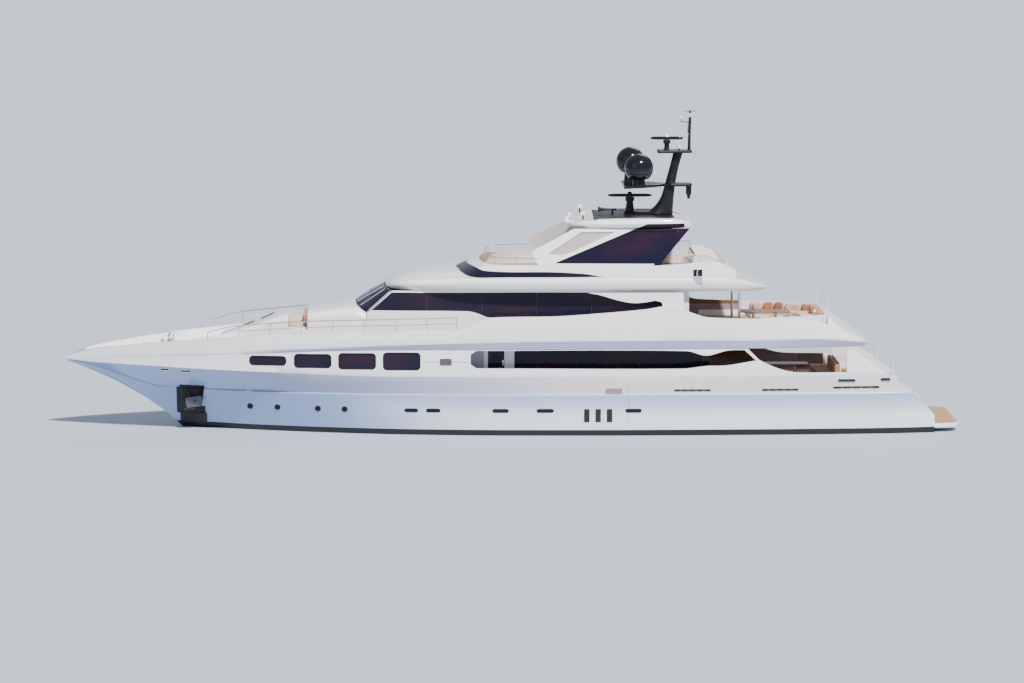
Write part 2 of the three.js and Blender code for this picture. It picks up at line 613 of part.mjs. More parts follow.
function sunCoaming() {
  const thick = 0.18;
  const inward = coamingPlan.map(([x0, y0, x1, y1], i) => {
    const nose = i / (coamingPlan.length - 1);
    const lean = Math.max(0, nose - 0.55) / 0.45;
    const dx = thick * 2 * lean;
    const dy = y0 === 0 ? 0 : thick * (1 - lean * 0.75);
    return [x0 - dx, y0 - dy, x1 - dx, y1 - dy];
  });
  const whole = (plan) => [...plan, ...plan.slice(0, -1).map(([x0, y0, x1, y1]) => [x0, -y0, x1, -y1]).reverse()];
  const ring = (column, z) => [
    ...whole(coamingPlan).map((row) => new THREE.Vector3(row[column], row[column + 1], z)),
    ...whole(inward).map((row) => new THREE.Vector3(row[column], row[column + 1], z)).reverse(),
  ];
  const wall = loft([ring(0, coamingFoot), ring(2, coamingHead)], ["x", "y"]);
  const outline = [[-12, 7], ...coamingTop.slice(0, 1).map(([, z]) => [-12, z]), ...coamingTop, [4, 8.7], [4, 7]];
  const kept = wall.intersect(drawn("y", outline, -5, 5));
  return without(kept, sunDeckRoof(), roofSkin());
}

// The roof raised by one gap, so that what stands on it stays clear
function roofSkin() {
  return loft(
    roofTable.map(([x, , creaseY, creaseZ, edgeZ, middleZ]) =>
      across(x, [[creaseY, 7.4], [creaseY, creaseZ], [creaseY - 0.1, edgeZ + gap], [creaseY * 0.3, middleZ + gap]])),
  );
}

// Arch between the sun deck and the hardtop, leaning inwards. The outlines are x, z
const archY = [3.65, 3.79]; // inner and outer face at the height archFoot
const archFoot = 8.66;
const archLean = 0.36;
const onCoaming = (x) => [x, between(coamingTop, x)[1] + gap];
const archOuter = [
  [-0.95, 9.4], [-3.1, 10.5], [-9, 10.5], [-7.95, 9.3], ...[-7.45, -6.7, -2.2, -1.25].map(onCoaming),
];
const archDark = [[-2.05, 8.79], [-5.9, 10.36], [-8.45, 10.36], [-7.7, 9.4], [-7.2, 8.76], [-6.7, 8.76]];
const archPanel = [[-1.75, 9.25], [-3.45, 10.34], [-5.2, 10.34], [-2.6, 9.2]];

function leaningPlate(outline, inner, outer) {
  const at = (y) => outline.map(([x, z]) => new THREE.Vector3(x, y - (z - archFoot) * archLean, z));
  return loft([at(inner), at(outer)], ["x", "z"]);
}

function arch() {
  const side = leaningPlate(archOuter, ...archY);
  const recess = leaningPlate(archPanel, archY[1] - 0.06, archY[1] + 1);
  return without(side, leaningPlate(archDark, 2, 5), recess);
}

function archGlass() {
  const middle = [-6.1, 9.55];
  const pane = archDark.map(([x, z]) => [middle[0] + (x - middle[0]) * 0.994, middle[1] + (z - middle[1]) * 0.994]);
  return leaningPlate(pane, archY[0] + 0.04, archY[1] - 0.04);
}

// Hardtop: x, half-breadth, underside, top
const hardtopTable = [
  [-9.3, 1.8, 10.52, 10.6],
  [-8.9, 2.8, 10.51, 10.82],
  [-8.2, 3.2, 10.51, 10.98],
  [-6.5, 3.32, 10.51, 11.0],
  [-4.4, 3.25, 10.51, 10.95],
  [-3.4, 2.8, 10.51, 10.82],
  [-2.9, 2.0, 10.51, 10.7],
  [-2.7, 1.2, 10.51, 10.62],
];

function hardtop() {
  return loft(hardtopTable.map(([x, y, under, top]) =>
    across(x, [[y - 0.2, under], [y, (under + top) / 2], [y - 0.25, top]])));
}

// Mast with its platforms and radar pedestals. Rows of the column: aft x, fore x, half-breadth, height
const mastRows = [
  [-8.32, -6.9, 0.5, 11.0 + gap],
  [-8.34, -7.35, 0.43, 11.35],
  [-8.38, -7.72, 0.36, 11.9],
  [-8.45, -7.9, 0.31, 12.5],
  [-8.6, -8.12, 0.27, 13.3],
  [-8.85, -8.35, 0.24, 14.2],
];
const radarLow = { x: -6.1, z: 11.95, length: 2.3 };
const radarHigh = { x: -8.0, z: 14.9, length: 1.7 };
const domes = [[-6.2, -1.35, 13.6], [-6.5, 1.3, 13.45]];
const domeRadius = 0.74;
const domeDeck = [12.42, 12.56]; // underside and top of the platform at half height

function mastColumn(extra = 0) {
  return loft(
    mastRows.map(([aft, fore, half, z]) => {
      const middle = (aft + fore) / 2;
      const wide = half + extra;
      return [
        new THREE.Vector3(fore + extra, -wide * 0.6, z), new THREE.Vector3(fore + extra, wide * 0.6, z),
        new THREE.Vector3(middle, wide, z), new THREE.Vector3(aft - extra, wide * 0.5, z),
        new THREE.Vector3(aft - extra, -wide * 0.5, z), new THREE.Vector3(middle, -wide, z),
      ];
    }),
    ["x", "y"],
  );
}

function mast() {
  const column = mastColumn();
  const aftArm = drawn("z", [[-9.3, -0.4], [-8.1, -0.5], [-8.1, 0.5], [-9.3, 0.4]], ...domeDeck);
  const highDeck = drawn("z", [[-9.3, -0.5], [-7.5, -0.65], [-7.5, 0.65], [-9.3, 0.5]], 14.15, 14.27);
  const top = bar([-9.15, 0, 14.2], [-9.2, 0, 16.3], 0.09, 0.05);
  const lowPost = bar([radarLow.x, 0, 11.0], [radarLow.x, 0, radarLow.z - 0.112], 0.22, 0.16);
  const highPost = bar([radarHigh.x, 0, 14.2], [radarHigh.x, 0, radarHigh.z - 0.112], 0.16, 0.12);
  const skid = box(-8.3, -5.8, -0.35, 0.35, 11.0 + gap, 11.12);
  const yard = box(-9.25, -9.05, -1.1, 1.1, 15.1, 15.2);
  return joined(column, aftArm, highDeck, top, lowPost, highPost, skid, yard).intersect(
    box(-12, 0, -4, 4, 11.0 + gap, 18),
  );
}

// Two domes on the platform that carries them, ahead of the mast
function domePair() {
  const outline = [[-7.97, -0.14], [-7.3, -1.0], [-5.7, -1.95], [-5.7, 1.95], [-7.3, 1.0], [-7.97, 0.14]];
  const deck = without(drawn("z", outline, ...domeDeck), mastColumn(gap));
  const balls = domes.map(([x, y, z]) => {
    const ball = new THREE.SphereGeometry(domeRadius, 12, 8);
    ball.rotateX(Math.PI / 2);
    return solidOf(ball.translate(x, y, z));
  });
  const cups = domes.map(([x, y, z]) => bar([x, y, domeDeck[0] + 0.02], [x, y, z - domeRadius * 0.7], 0.34, 0.42));
  return joined(deck, ...cups, ...balls);
}

function scanner({ x, z, length }) {
  return box(x - length / 2, x + length / 2, -0.09, 0.09, z - 0.1, z + 0.08);
}

// Stern gear
function swimPlatform() {
  const outline = [[hullEnd - gap, -3.3], [hullEnd - gap, 3.3], [-22.5, 3.2], [-22.9, 2.7], [-22.9, -2.7], [-22.5, -3.2]];
  return drawn("z", outline, 0.2, platformTop);
}

function garageDoor() {
  const [top, foot] = transomLine;
  const slope = (top[1] - foot[1]) / (top[0] - foot[0]);
  const at = (x) => foot[1] + (x - foot[0]) * slope;
  const high = -19.22;
  const low = -21.2;
  const outline = [[high, at(high)], [low, at(low)], [low + 0.2, at(low) + 0.02], [high + 0.08, at(high) - 0.1]];
  return drawn("y", outline, -garage.y + 0.02, garage.y - 0.02);
}

const shaftY = 1.55;
const propeller = { x: -18.35, z: -1.95, radius: 0.72 };
const rudder = { x: -19.75, y: shaftY, top: -0.87, foot: -2.45 };

function shaftGear() {
  const shaft = bar([-10.5, shaftY, -1.35], [propeller.x + 0.35, shaftY, propeller.z], 0.12);
  const hub = bar([propeller.x + 1.0, shaftY, propeller.z + 0.06], [propeller.x + 0.3, shaftY, propeller.z], 0.2);
  const strutOuter = drawn("x", [[shaftY - 0.05, -1.95], [shaftY + 0.05, -1.95], [shaftY + 0.75, -0.5], [shaftY + 0.6, -0.5]], -17.8, -17.4);
  const strutInner = drawn("x", [[shaftY - 0.05, -1.95], [shaftY + 0.05, -1.95], [shaftY - 0.6, -0.5], [shaftY - 0.75, -0.5]], -17.8, -17.4);
  return without(joined(shaft, hub, strutOuter, strutInner), hullBody(-gap));
}

function propellerBody() {
  const hub = bar([propeller.x + 0.25, shaftY, propeller.z], [propeller.x - 0.3, shaftY, propeller.z], 0.17, 0.08);
  const blades = [];
  for (let i = 0; i < 5; i += 1) {
    const turn = (i * 2 * Math.PI) / 5;
    const blade = new THREE.CylinderGeometry(0.3, 0.12, propeller.radius - 0.1, 8);
    blade.scale(1, 1, 0.09);
    blade.rotateY(0.6);
    blade.translate(0, 0.1 + (propeller.radius - 0.1) / 2, 0);
    blade.rotateZ(Math.PI / 2);
    blade.rotateY(-Math.PI / 2);
    blade.rotateX(turn);
    blade.translate(propeller.x, shaftY, propeller.z);
    blades.push(solidOf(blade));
  }
  return joined(hub, ...blades);
}

function rudderBody() {
  const { x, y, top, foot } = rudder;
  const plan = (z, chord, thick) => [
    new THREE.Vector3(x + chord * 0.35, y, z), new THREE.Vector3(x + chord * 0.1, y + thick, z),
    new THREE.Vector3(x - chord * 0.65, y, z), new THREE.Vector3(x + chord * 0.1, y - thick, z),
  ];
  const blade = loft([plan(foot, 0.95, 0.07), plan(top - 0.12, 1.3, 0.11)], ["x", "y"]);
  const stock = bar([x, y, top - 0.2], [x, y, top - 0.02], 0.1);
  return joined(blade, stock);
}

const fin = { x: 1.5, y: 3.36, z: -1.25 };

function finBody() {
  const root = new THREE.Vector3(fin.x, fin.y, fin.z);
  const out = new THREE.Vector3(0, Math.cos(0.75), -Math.sin(0.75));
  const up = new THREE.Vector3(0, Math.sin(0.75), Math.cos(0.75));
  const plan = (distance, chord, thick, sweep) => {
    const centre = root.clone().addScaledVector(out, distance);
    const at = (dx, du) => new THREE.Vector3(centre.x + dx, centre.y, centre.z).addScaledVector(up, du);
    return [at(chord * 0.4 - sweep, 0), at(chord * 0.1 - sweep, thick), at(-chord * 0.6 - sweep, 0), at(chord * 0.1 - sweep, -thick)];
  };
  return loft([plan(0.1, 1.3, 0.1, 0), plan(1.15, 0.95, 0.06, 0.15)], ["x", "z"]);
}

// Ground tackle and rails
function anchor() {
  const plate = drawn("y", [[17.0, 1.0], [16.25, 1.0], [16.15, 2.05], [16.95, 2.05]], 1.0, 1.12);
  const shank = drawn("y", [[16.75, 1.2], [16.5, 1.2], [16.5, 2.0], [16.75, 2.0]], 1.1, 1.35);
  const flukes = drawn("y", [[17.0, 0.85], [16.25, 0.85], [16.3, 1.25], [16.95, 1.25]], 1.1, 1.4);
  return joined(plate, shank, flukes);
}

function windlasses() {
  const deck = deckAt(17.6) + gap;
  const bed = drawn("y", [[18.2, deckAt(18.2) + gap], [16.9, deckAt(16.9) + gap], [16.9, deck + 0.2], [18.2, deck + 0.1]], -0.75, 0.75);
  const drums = [-0.5, 0.5].map((y) => bar([17.6, y, deck + 0.1], [17.6, y, deck + 0.62], 0.24, 0.2, 12));
  const guards = [-0.5, 0.5].map((y) => box(17.95, 18.15, y - 0.12, y + 0.12, deck, deck + 0.35));
  return without(joined(bed, ...drums, ...guards), underDeck());
}

const railStations = [15.6, 14, 12.4, 10.8, 9.2, 7.6, 6, 4.4, 2.9];

function foredeckRail() {
  const radius = 0.035;
  const foot = (x) => {
    const row = between(bandTable, Math.min(x, 13.5));
    const bow = between(hullTable, x);
    return x > 13.5 ? [x, bow[16] - 0.07, bow[17] + 0.005] : [x, row[6] - 0.08, row[5] + 0.005];
  };
  const feet = railStations.map(foot);
  const tops = feet.map(([x, y, z], i) => [x, y - 0.03, z + (i === 0 ? 0.35 : 0.6)]);
  const posts = feet.map((f, i) => bar(f, tops[i], radius, radius, 6));
  const middle = feet.slice(1).map(([x, y, z]) => [x, y - 0.015, z + 0.3]);
  return joined(pipe(tops, radius), pipe(middle, radius * 0.7), ...posts);
}

function aftSofa() {
  const seat = drawn("z", [[-16.6, -2.1], [-15.6, -2.1], [-15.6, 2.1], [-16.6, 2.1]], mainDeck + gap, mainDeck + 0.45);
  const back = box(-16.9, -16.6 + gap, -2.1, 2.1, mainDeck + gap, mainDeck + 0.95);
  return joined(seat, back);
}

function tableOn(x, y, z, length, width) {
  const top = box(x - length / 2, x + length / 2, y - width / 2, y + width / 2, z + 0.68, z + 0.74);
  const leg = bar([x, y, z + gap], [x, y, z + 0.7], 0.22, 0.15);
  return joined(top, leg);
}

// Settee round the after end of the upper deck: outer line, front of the back rest and front of the seat, to port
const setteePlan = {
  outer: [[-16.1, 0], [-16.1, 2.4], [-15.4, 2.95], [-14.5, 3.4], [-12.6, 3.8]],
  back: [[-15.8, 0], [-15.8, 2.27], [-15.24, 2.7], [-14.4, 3.11], [-12.6, 3.49]],
  seat: [[-15.0, 0], [-15.0, 1.85], [-14.75, 2.05], [-14.15, 2.34], [-12.6, 2.67]],
};

function upperSofa() {
  const whole = (line) => [...line.slice(1).map(([x, y]) => [x, -y]).reverse(), ...line];
  const ringTo = (line, top) => drawn("z", [...whole(setteePlan.outer), ...whole(line).reverse()], upperDeck + gap, top);
  return joined(ringTo(setteePlan.seat, upperDeck + 0.42), ringTo(setteePlan.back, upperDeck + 0.82));
}

function sunLounge() {
  const foot = sunDeck + gap;
  const side = [[-10.6, foot], [-9.0, foot], [-9.0, 8.5], [-9.2, 8.5], [-9.3, 9.15], [-9.85, 9.15], [-10.6, 8.85]];
  return drawn("y", side, -2.2, 2.2);
}

function engines() {
  const block = box(-9.4, -5.4, 0.75, 2.25, -1.0, 1.2);
  return joined(block, mirrored(block), box(-8.6, -6.2, -0.8, 0.8, -1.0, -0.75));
}

// The ship
const ship = new THREE.Group();

function place(name, solid, look) {
  const mesh = new THREE.Mesh(geometryOf(solid), new THREE.MeshStandardMaterial(paint[look]));
  mesh.name = name;
  ship.add(mesh);
}

function placePair(name, solid, look) {
  place(name + "_port", solid, look);
  place(name + "_starboard", mirrored(solid), look);
}

place("hull", hull(), "white");
place("main_deck", mainDeckPlate(), "teak");
placePair("side_shell", sideShell(), "white");
placePair("cabin_windows", cabinWindows(), "glass");
placePair("upper_bulwark", upperBulwark(), "white");
place("after_bulwark", afterBulwark(), "white");
place("upper_deck", upperDeckPlate(), "teak");
place("foredeck_trunk", foredeckTrunk(), "white");
place("foredeck_seat", foredeckSeat(), "cushion");
placePair("saloon_wall", saloonWall(), "white");
placePair("saloon_glass", saloonGlass(), "glass");
placePair("side_door", sideDoorLeaf(), "glass");
place("saloon_aft_frame", aftFrame(saloon.x0 - gap, saloon.y, mainDeck, ceiling, 1.1), "white");
placePair("saloon_door", slidingLeaf(saloon.x0 + 0.065, 0.006, 1.15, mainDeck, 4.62), "glass");
placePair("upper_wall", upperWall(), "white");
placePair("upper_glass", upperGlass(), "glass");
place("windscreen", windscreen(), "glass");
place("upper_aft_frame", aftFrame(upperHouse.x0 - gap, 3.3, upperDeck, roofUnder, 0.75), "white");
place("sky_door", slidingLeaf(upperHouse.x0 + 0.065, -0.8, 0.8, upperDeck, 7.2), "glass");
place("sun_deck", sunDeckRoof(), "white");
place("sun_coaming", sunCoaming(), "white");
placePair("arch", arch(), "white");
placePair("arch_glass", archGlass(), "glass");
place("hardtop", hardtop(), "white");
place("mast", mast(), "black");
place("domes", domePair(), "black");
place("radar_lower", scanner(radarLow), "white");
place("radar_upper", scanner(radarHigh), "white");
place("swim_platform", swimPlatform(), "teak");
place("garage_door", garageDoor(), "white");
placePair("shaft_gear", shaftGear(), "steel");
placePair("propeller", propellerBody(), "bronze");
placePair("rudder", rudderBody(), "iron");
placePair("stabilizer", finBody(), "iron");
placePair("anchor", anchor(), "steel");
place("windlasses", windlasses(), "steel");
placePair("foredeck_rail", foredeckRail(), "steel");
place("aft_sofa", aftSofa(), "cushion");
place("aft_table", tableOn(-14.2, 0, mainDeck, 2.4, 1.1), "teak");
place("upper_sofa", upperSofa(), "cushion");
place("upper_table", tableOn(-13.1, 0, upperDeck, 2.6, 1.3), "teak");
place("sun_lounge", sunLounge(), "cushion");
place("engines", engines(), "iron");

export default ship;
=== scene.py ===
import math

import bmesh
import bpy
import numpy as np
from mathutils import Matrix, Vector


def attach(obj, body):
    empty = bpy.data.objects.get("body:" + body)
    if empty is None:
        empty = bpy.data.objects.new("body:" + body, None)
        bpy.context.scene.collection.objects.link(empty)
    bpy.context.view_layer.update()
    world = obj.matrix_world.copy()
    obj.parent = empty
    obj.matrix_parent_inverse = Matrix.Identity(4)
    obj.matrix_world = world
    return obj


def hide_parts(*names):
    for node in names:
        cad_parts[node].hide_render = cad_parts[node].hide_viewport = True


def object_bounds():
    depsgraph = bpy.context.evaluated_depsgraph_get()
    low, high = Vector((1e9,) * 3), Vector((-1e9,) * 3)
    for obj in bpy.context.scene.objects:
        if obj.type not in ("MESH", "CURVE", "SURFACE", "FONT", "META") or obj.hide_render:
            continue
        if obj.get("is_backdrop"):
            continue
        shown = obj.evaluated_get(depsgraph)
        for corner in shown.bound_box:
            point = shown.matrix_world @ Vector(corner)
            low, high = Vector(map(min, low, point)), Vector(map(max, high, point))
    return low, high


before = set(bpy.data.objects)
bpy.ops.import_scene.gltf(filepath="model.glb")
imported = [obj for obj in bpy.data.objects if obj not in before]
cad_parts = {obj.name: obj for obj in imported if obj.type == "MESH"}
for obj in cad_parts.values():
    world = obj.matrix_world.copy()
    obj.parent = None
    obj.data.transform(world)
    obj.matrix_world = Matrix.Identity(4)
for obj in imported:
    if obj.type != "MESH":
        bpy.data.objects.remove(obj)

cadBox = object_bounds()
modelScale = 0.5  # model metres for one metre of the real yacht; lengths below are the real yacht's
gap = 0.001  # clearance where two pieces touch

# Hull sections: half-breadths y and heights z of the keel, flat, bilge, waterline, lower knuckle,
# upper knuckle, foot of the upper band, its crease and its top edge.
# x, keelZ, flatY, flatZ, turnY, turnZ, waterY, waterZ, lowY, lowZ, kneeY, kneeZ,
# footY, footZ, creaseY, creaseZ, topY, topZ
hullRows = [
    (-21.6, -0.7, 1.9, -0.6, 3.1, -0.35, 3.35, 0.2, 3.42, 2.1, 3.42, 3.07, 3.4, 4.45, 3.4, 4.9, 3.4, 5.3),
    (-19.5, -0.85, 1.95, -0.75, 3.4, -0.45, 3.7, 0.2, 3.82, 2.1, 3.82, 3.07, 3.8, 4.45, 3.8, 4.9, 3.8, 5.3),
    (-17, -1.15, 2.0, -0.95, 3.55, -0.6, 3.9, 0.2, 4.03, 2.1, 4.06, 3.07, 4.04, 4.46, 4.06, 4.9, 4.06, 5.3),
    (-12, -1.75, 2.1, -1.45, 3.7, -0.9, 4.1, 0.2, 4.25, 2.1, 4.32, 3.07, 4.28, 4.46, 4.34, 4.9, 4.34, 5.3),
    (-6, -2.2, 2.1, -1.85, 3.7, -1.1, 4.18, 0.2, 4.34, 2.1, 4.4, 3.07, 4.32, 4.44, 4.42, 4.9, 4.42, 5.3),
    (0, -2.45, 1.9, -2.05, 3.5, -1.25, 4.05, 0.2, 4.28, 2.1, 4.38, 3.07, 4.3, 4.43, 4.4, 4.85, 4.4, 5.3),
    (5, -2.5, 1.5, -2.2, 3.0, -1.25, 3.6, 0.2, 4.0, 2.1, 4.2, 3.07, 4.16, 4.42, 4.26, 4.7, 4.27, 5.42),
    (10, -2.45, 0.8, -2.2, 1.95, -1.1, 2.55, 0.2, 3.3, 2.1, 3.78, 3.15, 3.8, 4.33, 3.86, 4.5, 3.9, 5.28),
    (13.5, -2.25, 0.35, -1.9, 1.0, -0.8, 1.45, 0.2, 2.35, 2.1, 3.2, 3.25, 3.26, 4.13, 3.32, 4.28, 3.38, 5.04),
    (16, -0.9, 0.12, -0.6, 0.35, -0.1, 0.52, 0.25, 1.35, 2.1, 2.65, 3.3, 2.7, 3.98, 2.78, 4.12, 2.84, 4.82),
    (18, 0.85, 0.12, 1.05, 0.28, 1.35, 0.42, 1.6, 0.72, 2.15, 2.05, 3.36, 2.1, 3.9, 2.15, 4.02, 2.2, 4.64),
    (19.8, 2.03, 0.15, 2.15, 0.3, 2.3, 0.42, 2.45, 0.55, 2.62, 1.48, 3.4, 1.52, 3.8, 1.56, 3.92, 1.6, 4.42),
    (21.5, 2.87, 0.12, 2.94, 0.22, 3.02, 0.3, 3.1, 0.4, 3.2, 0.78, 3.42, 0.82, 3.66, 0.85, 3.76, 0.88, 4.18),
    (23, 3.46, 0.03, 3.48, 0.05, 3.5, 0.07, 3.52, 0.09, 3.54, 0.11, 3.57, 0.12, 3.6, 0.12, 3.63, 0.12, 3.68),
]

# Upper band: x, footZ, footY, creaseZ, creaseY, topZ, topY
bandRows = [
    (-18.4, 4.22, 0.7, 4.36, 0.78, 4.44, 0.6),
    (-18.1, 4.26, 1.5, 4.5, 1.62, 4.62, 1.4),
    (-17.4, 4.33, 2.4, 4.68, 2.52, 5.0, 2.3),
    (-16.3, 4.4, 3.15, 4.84, 3.27, 5.5, 3.1),
    (-14.5, 4.45, 3.85, 4.94, 3.96, 5.95, 3.88),
    (-12, 4.46, 4.28, 4.95, 4.34, 6.0, 4.3),
    (-9.9, 4.45, 4.3, 4.94, 4.4, 6.07, 4.36),
    (-9.1, 4.45, 4.3, 4.93, 4.4, 6.3, 4.36),
    (-8, 4.44, 4.31, 4.91, 4.41, 6.68, 4.36),
    (-6.7, 4.44, 4.32, 4.9, 4.42, 6.5, 4.37),
    (-4.4, 4.44, 4.32, 4.88, 4.42, 6.3, 4.38),
    (-2, 4.43, 4.32, 4.87, 4.42, 6.15, 4.39),
    (1.1, 4.43, 4.29, 4.83, 4.38, 6.1, 4.36),
    (1.55, 4.43, 4.28, 4.82, 4.37, 5.98, 4.35),
    (2.1, 4.42, 4.26, 4.8, 4.35, 5.64, 4.34),
    (2.6, 4.42, 4.24, 4.78, 4.34, 5.5, 4.33),
    (5, 4.42, 4.16, 4.7, 4.26, 5.42, 4.27),
    (10, 4.33, 3.8, 4.5, 3.86, 5.28, 3.9),
    (13.8, 4.112, 3.193, 4.261, 3.255, 5.014, 3.315),
]

# Top of the upper deck and foredeck: x, z
deckRows = [(-19, 5.2), (4, 5.2), (7, 5.1), (11, 4.85), (13.8, 4.62), (18.5, 4.1), (21.3, 3.86), (23, 3.8)]

# Raised trunk on the foredeck: x, half-breadth, top
trunkRows = [
    (7.46, 2.68, 6.24), (8.1, 2.62, 6.46), (10, 2.3, 6.24), (11.7, 1.9, 6.02), (13.2, 1.45, 5.45), (15, 0.85, 4.85),
]

# Sun deck roof: x, under half-breadth, crease half-breadth, crease height, edge height, middle height
roofRows = [
    (-13.1, 0.9, 1.0, 7.28, 7.32, 7.34),
    (-12.5, 1.95, 2.12, 7.46, 7.56, 7.58),
    (-11.6, 2.85, 3.05, 7.66, 7.86, 7.88),
    (-10.6, 3.4, 3.62, 7.78, 8.05, 8.05),
    (-9, 3.72, 3.95, 7.8, 8.05, 8.05),
    (-5, 3.82, 4.07, 7.8, 8.05, 8.05),
    (-1, 3.8, 4.05, 7.8, 8.05, 8.05),
    (1.6, 3.7, 3.95, 7.78, 8.05, 8.05),
    (3.0, 3.5, 3.78, 7.74, 8.02, 8.3),
    (4.6, 3.1, 3.35, 7.66, 7.92, 8.18),
    (5.6, 2.55, 2.75, 7.58, 7.78, 7.98),
    (6.2, 1.75, 1.95, 7.5, 7.62, 7.74),
    (6.5, 0.9, 1.0, 7.42, 7.48, 7.52),
]

levels = {"mainDeck": 2.45, "upperDeck": 5.2, "sunDeck": 8.05, "roofUnder": 7.34, "platform": 0.45, "plate": 0.15}
walls = {"shell": 0.16, "house": 0.12, "pane": 0.06}
bowBlock = 13.8  # ahead of this the hull is decked over


# Reads a table smoothly: monotone cubics, so nothing swings past the rows
def smoothReader(rows):
    rows = sorted(rows)
    x = np.array([row[0] for row in rows], float)
    y = np.array([row[1:] for row in rows], float)
    step = np.diff(x)[:, None]
    slope = np.diff(y, axis=0) / step
    tangent = np.zeros_like(y)
    near = 2 * step[1:] + step[:-1]
    far = step[1:] + 2 * step[:-1]
    rising = slope[:-1] * slope[1:] > 1e-12
    safe = np.where(rising, slope[:-1], 1), np.where(rising, slope[1:], 1)
    tangent[1:-1] = np.where(rising, (near + far) / (near / safe[0] + far / safe[1]), 0)
    tangent[0], tangent[-1] = slope[0], slope[-1]

    def read(at):
        at = min(max(at, x[0]), x[-1])
        i = min(max(int(np.searchsorted(x, at)) - 1, 0), len(x) - 2)
        width = x[i + 1] - x[i]
        t = (at - x[i]) / width
        return (
            (1 + 2 * t) * (1 - t) ** 2 * y[i]
            + t * (1 - t) ** 2 * width * tangent[i]
            + t * t * (3 - 2 * t) * y[i + 1]
            + t * t * (t - 1) * width * tangent[i + 1]
        )

    return read


hullAt = smoothReader(hullRows)
bandAt = smoothReader(bandRows)
trunkAt = smoothReader(trunkRows)
roofAt = smoothReader(roofRows)


# Reads points joined by straight lines
def straightReader(points):
    return lambda at: float(np.interp(at, [p[0] for p in points], [p[1] for p in points]))


deckAt = straightReader(deckRows)


# A smooth curve through flat points, with its own points kept
def smoothLine(points, steps):
    lengths = [0.0]
    for a, b in zip(points, points[1:]):
        lengths.append(lengths[-1] + max(math.dist(a, b), 1e-6))
    read = smoothReader([(s, *p) for s, p in zip(lengths, points)])
    line = []
    for start, end in zip(lengths, lengths[1:]):
        line += [tuple(read(start + (end - start) * i / steps)) for i in range(steps)]
    return line + [tuple(points[-1])]


# A closed smooth outline through flat points; a point marked with a third value stays sharp
def smoothLoop(points, steps=6):
    count = len(points)
    outline = []
    for i in range(count):
        a, b, c, d = (np.array(points[(i + k) % count][:2], float) for k in (-1, 0, 1, 2))
        sharpStart = len(points[i]) > 2
        sharpEnd = len(points[(i + 1) % count]) > 2
        length = np.linalg.norm(c - b)
        out = (c - b) if sharpStart else (c - a) * length / (np.linalg.norm(b - a) + length)
        into = (c - b) if sharpEnd else (d - b) * length / (np.linalg.norm(d - c) + length)
        for k in range(steps):
            t = k / steps
            point = (
                (1 + 2 * t) * (1 - t) ** 2 * b + t * (1 - t) ** 2 * out
                + t * t * (3 - 2 * t) * c + t * t * (t - 1) * into
            )
            outline.append(tuple(point))
    return outline


def roundedWindow(x0, x1, z0, z1, radius=0.18, steps=5):
    left, right, low, high = x0 + radius, x1 - radius, z0 + radius, z1 - radius
    outline = []
    for cx, cz, start in ((right, high, 0), (left, high, 90), (left, low, 180), (right, low, 270)):
        for i in range(steps + 1):
            angle = math.radians(start + 90 * i / steps)
            outline.append((cx + radius * math.cos(angle), cz + radius * math.sin(angle)))
    return outline


def inset(window, by):
    x0, x1, z0, z1 = window
    return x0 + by, x1 - by, z0 + by, z1 - by


def oblong(x0, x1, y0, y1):
    return [(x0, y0), (x1, y0), (x1, y1), (x0, y1)]


# Points of a flat outline moved by a length away from its middle
def spread(outline, by, middle=None):
    points = np.array(outline)
    middle = np.mean(points, axis=0) if middle is None else np.array(middle)
    return [tuple(p + (p - middle) / np.linalg.norm(p - middle) * by) for p in points]


# Places along a table's rows, closer together towards both ends
def easedAlong(rows, count):
    start, end = rows[0][0], rows[-1][0]
    return [start + (end - start) * (0.5 - 0.5 * math.cos(math.pi * i / (count - 1))) for i in range(count)]


def allRound(count):
    return [2 * math.pi * k / count for k in range(count)]


# A number raised to a power, with its sign kept
def bent(value, power):
    return math.copysign(abs(value) ** power, value)


# Mesh making
def placed(name, data):
    made = bpy.data.objects.new(name, data)
    bpy.context.scene.collection.objects.link(made)
    return made


def editMesh(piece, work):
    form = bmesh.new()
    form.from_mesh(piece.data)
    work(form)
    form.to_mesh(piece.data)
    form.free()
    piece.data.update()
    return piece


# A skin over rings of points, closed at its ends or joined to itself
def loft(rings, looped=False):
    count = len(rings[0])
    pairs = [(s, s + 1) for s in range(len(rings) - 1)]
    if looped:
        pairs.append((len(rings) - 1, 0))
    faces = []
    for s, t in pairs:
        for i in range(count):
            j = (i + 1) % count
            faces.append((s * count + i, s * count + j, t * count + j, t * count + i))
    if not looped:
        faces.append(tuple(range(count))[::-1])
        faces.append(tuple(range((len(rings) - 1) * count, len(rings) * count)))
    mesh = bpy.data.meshes.new("loft")
    mesh.from_pydata([tuple(c * modelScale for c in p) for ring in rings for p in ring], [], faces)
    return editMesh(placed("loft", mesh), lambda form: bmesh.ops.recalc_face_normals(form, faces=form.faces))


# A flat outline drawn out: of x, z along y, or of x, y along z
def drawn(axis, outline, start, end):
    place = {"z": lambda p, d: (p[0], p[1], d), "y": lambda p, d: (p[0], d, p[1])}[axis]
    return loft([[place(p, d) for p in outline] for d in (start, end)])


def box(x0, x1, y0, y1, z0, z1):
    return drawn("z", oblong(x0, x1, y0, y1), z0, z1)


def roundBox(x0, x1, y0, y1, z0, z1, radius, segments=3):
    offset = radius * modelScale
    return editMesh(box(x0, x1, y0, y1, z0, z1), lambda form: bmesh.ops.bevel(
        form, geom=form.edges, offset=offset, segments=segments, profile=0.5, affect="EDGES",
    ))


def circle(centre, side, up, radius, count):
    return [tuple(centre + side * radius * math.cos(a) + up * radius * math.sin(a)) for a in allRound(count)]


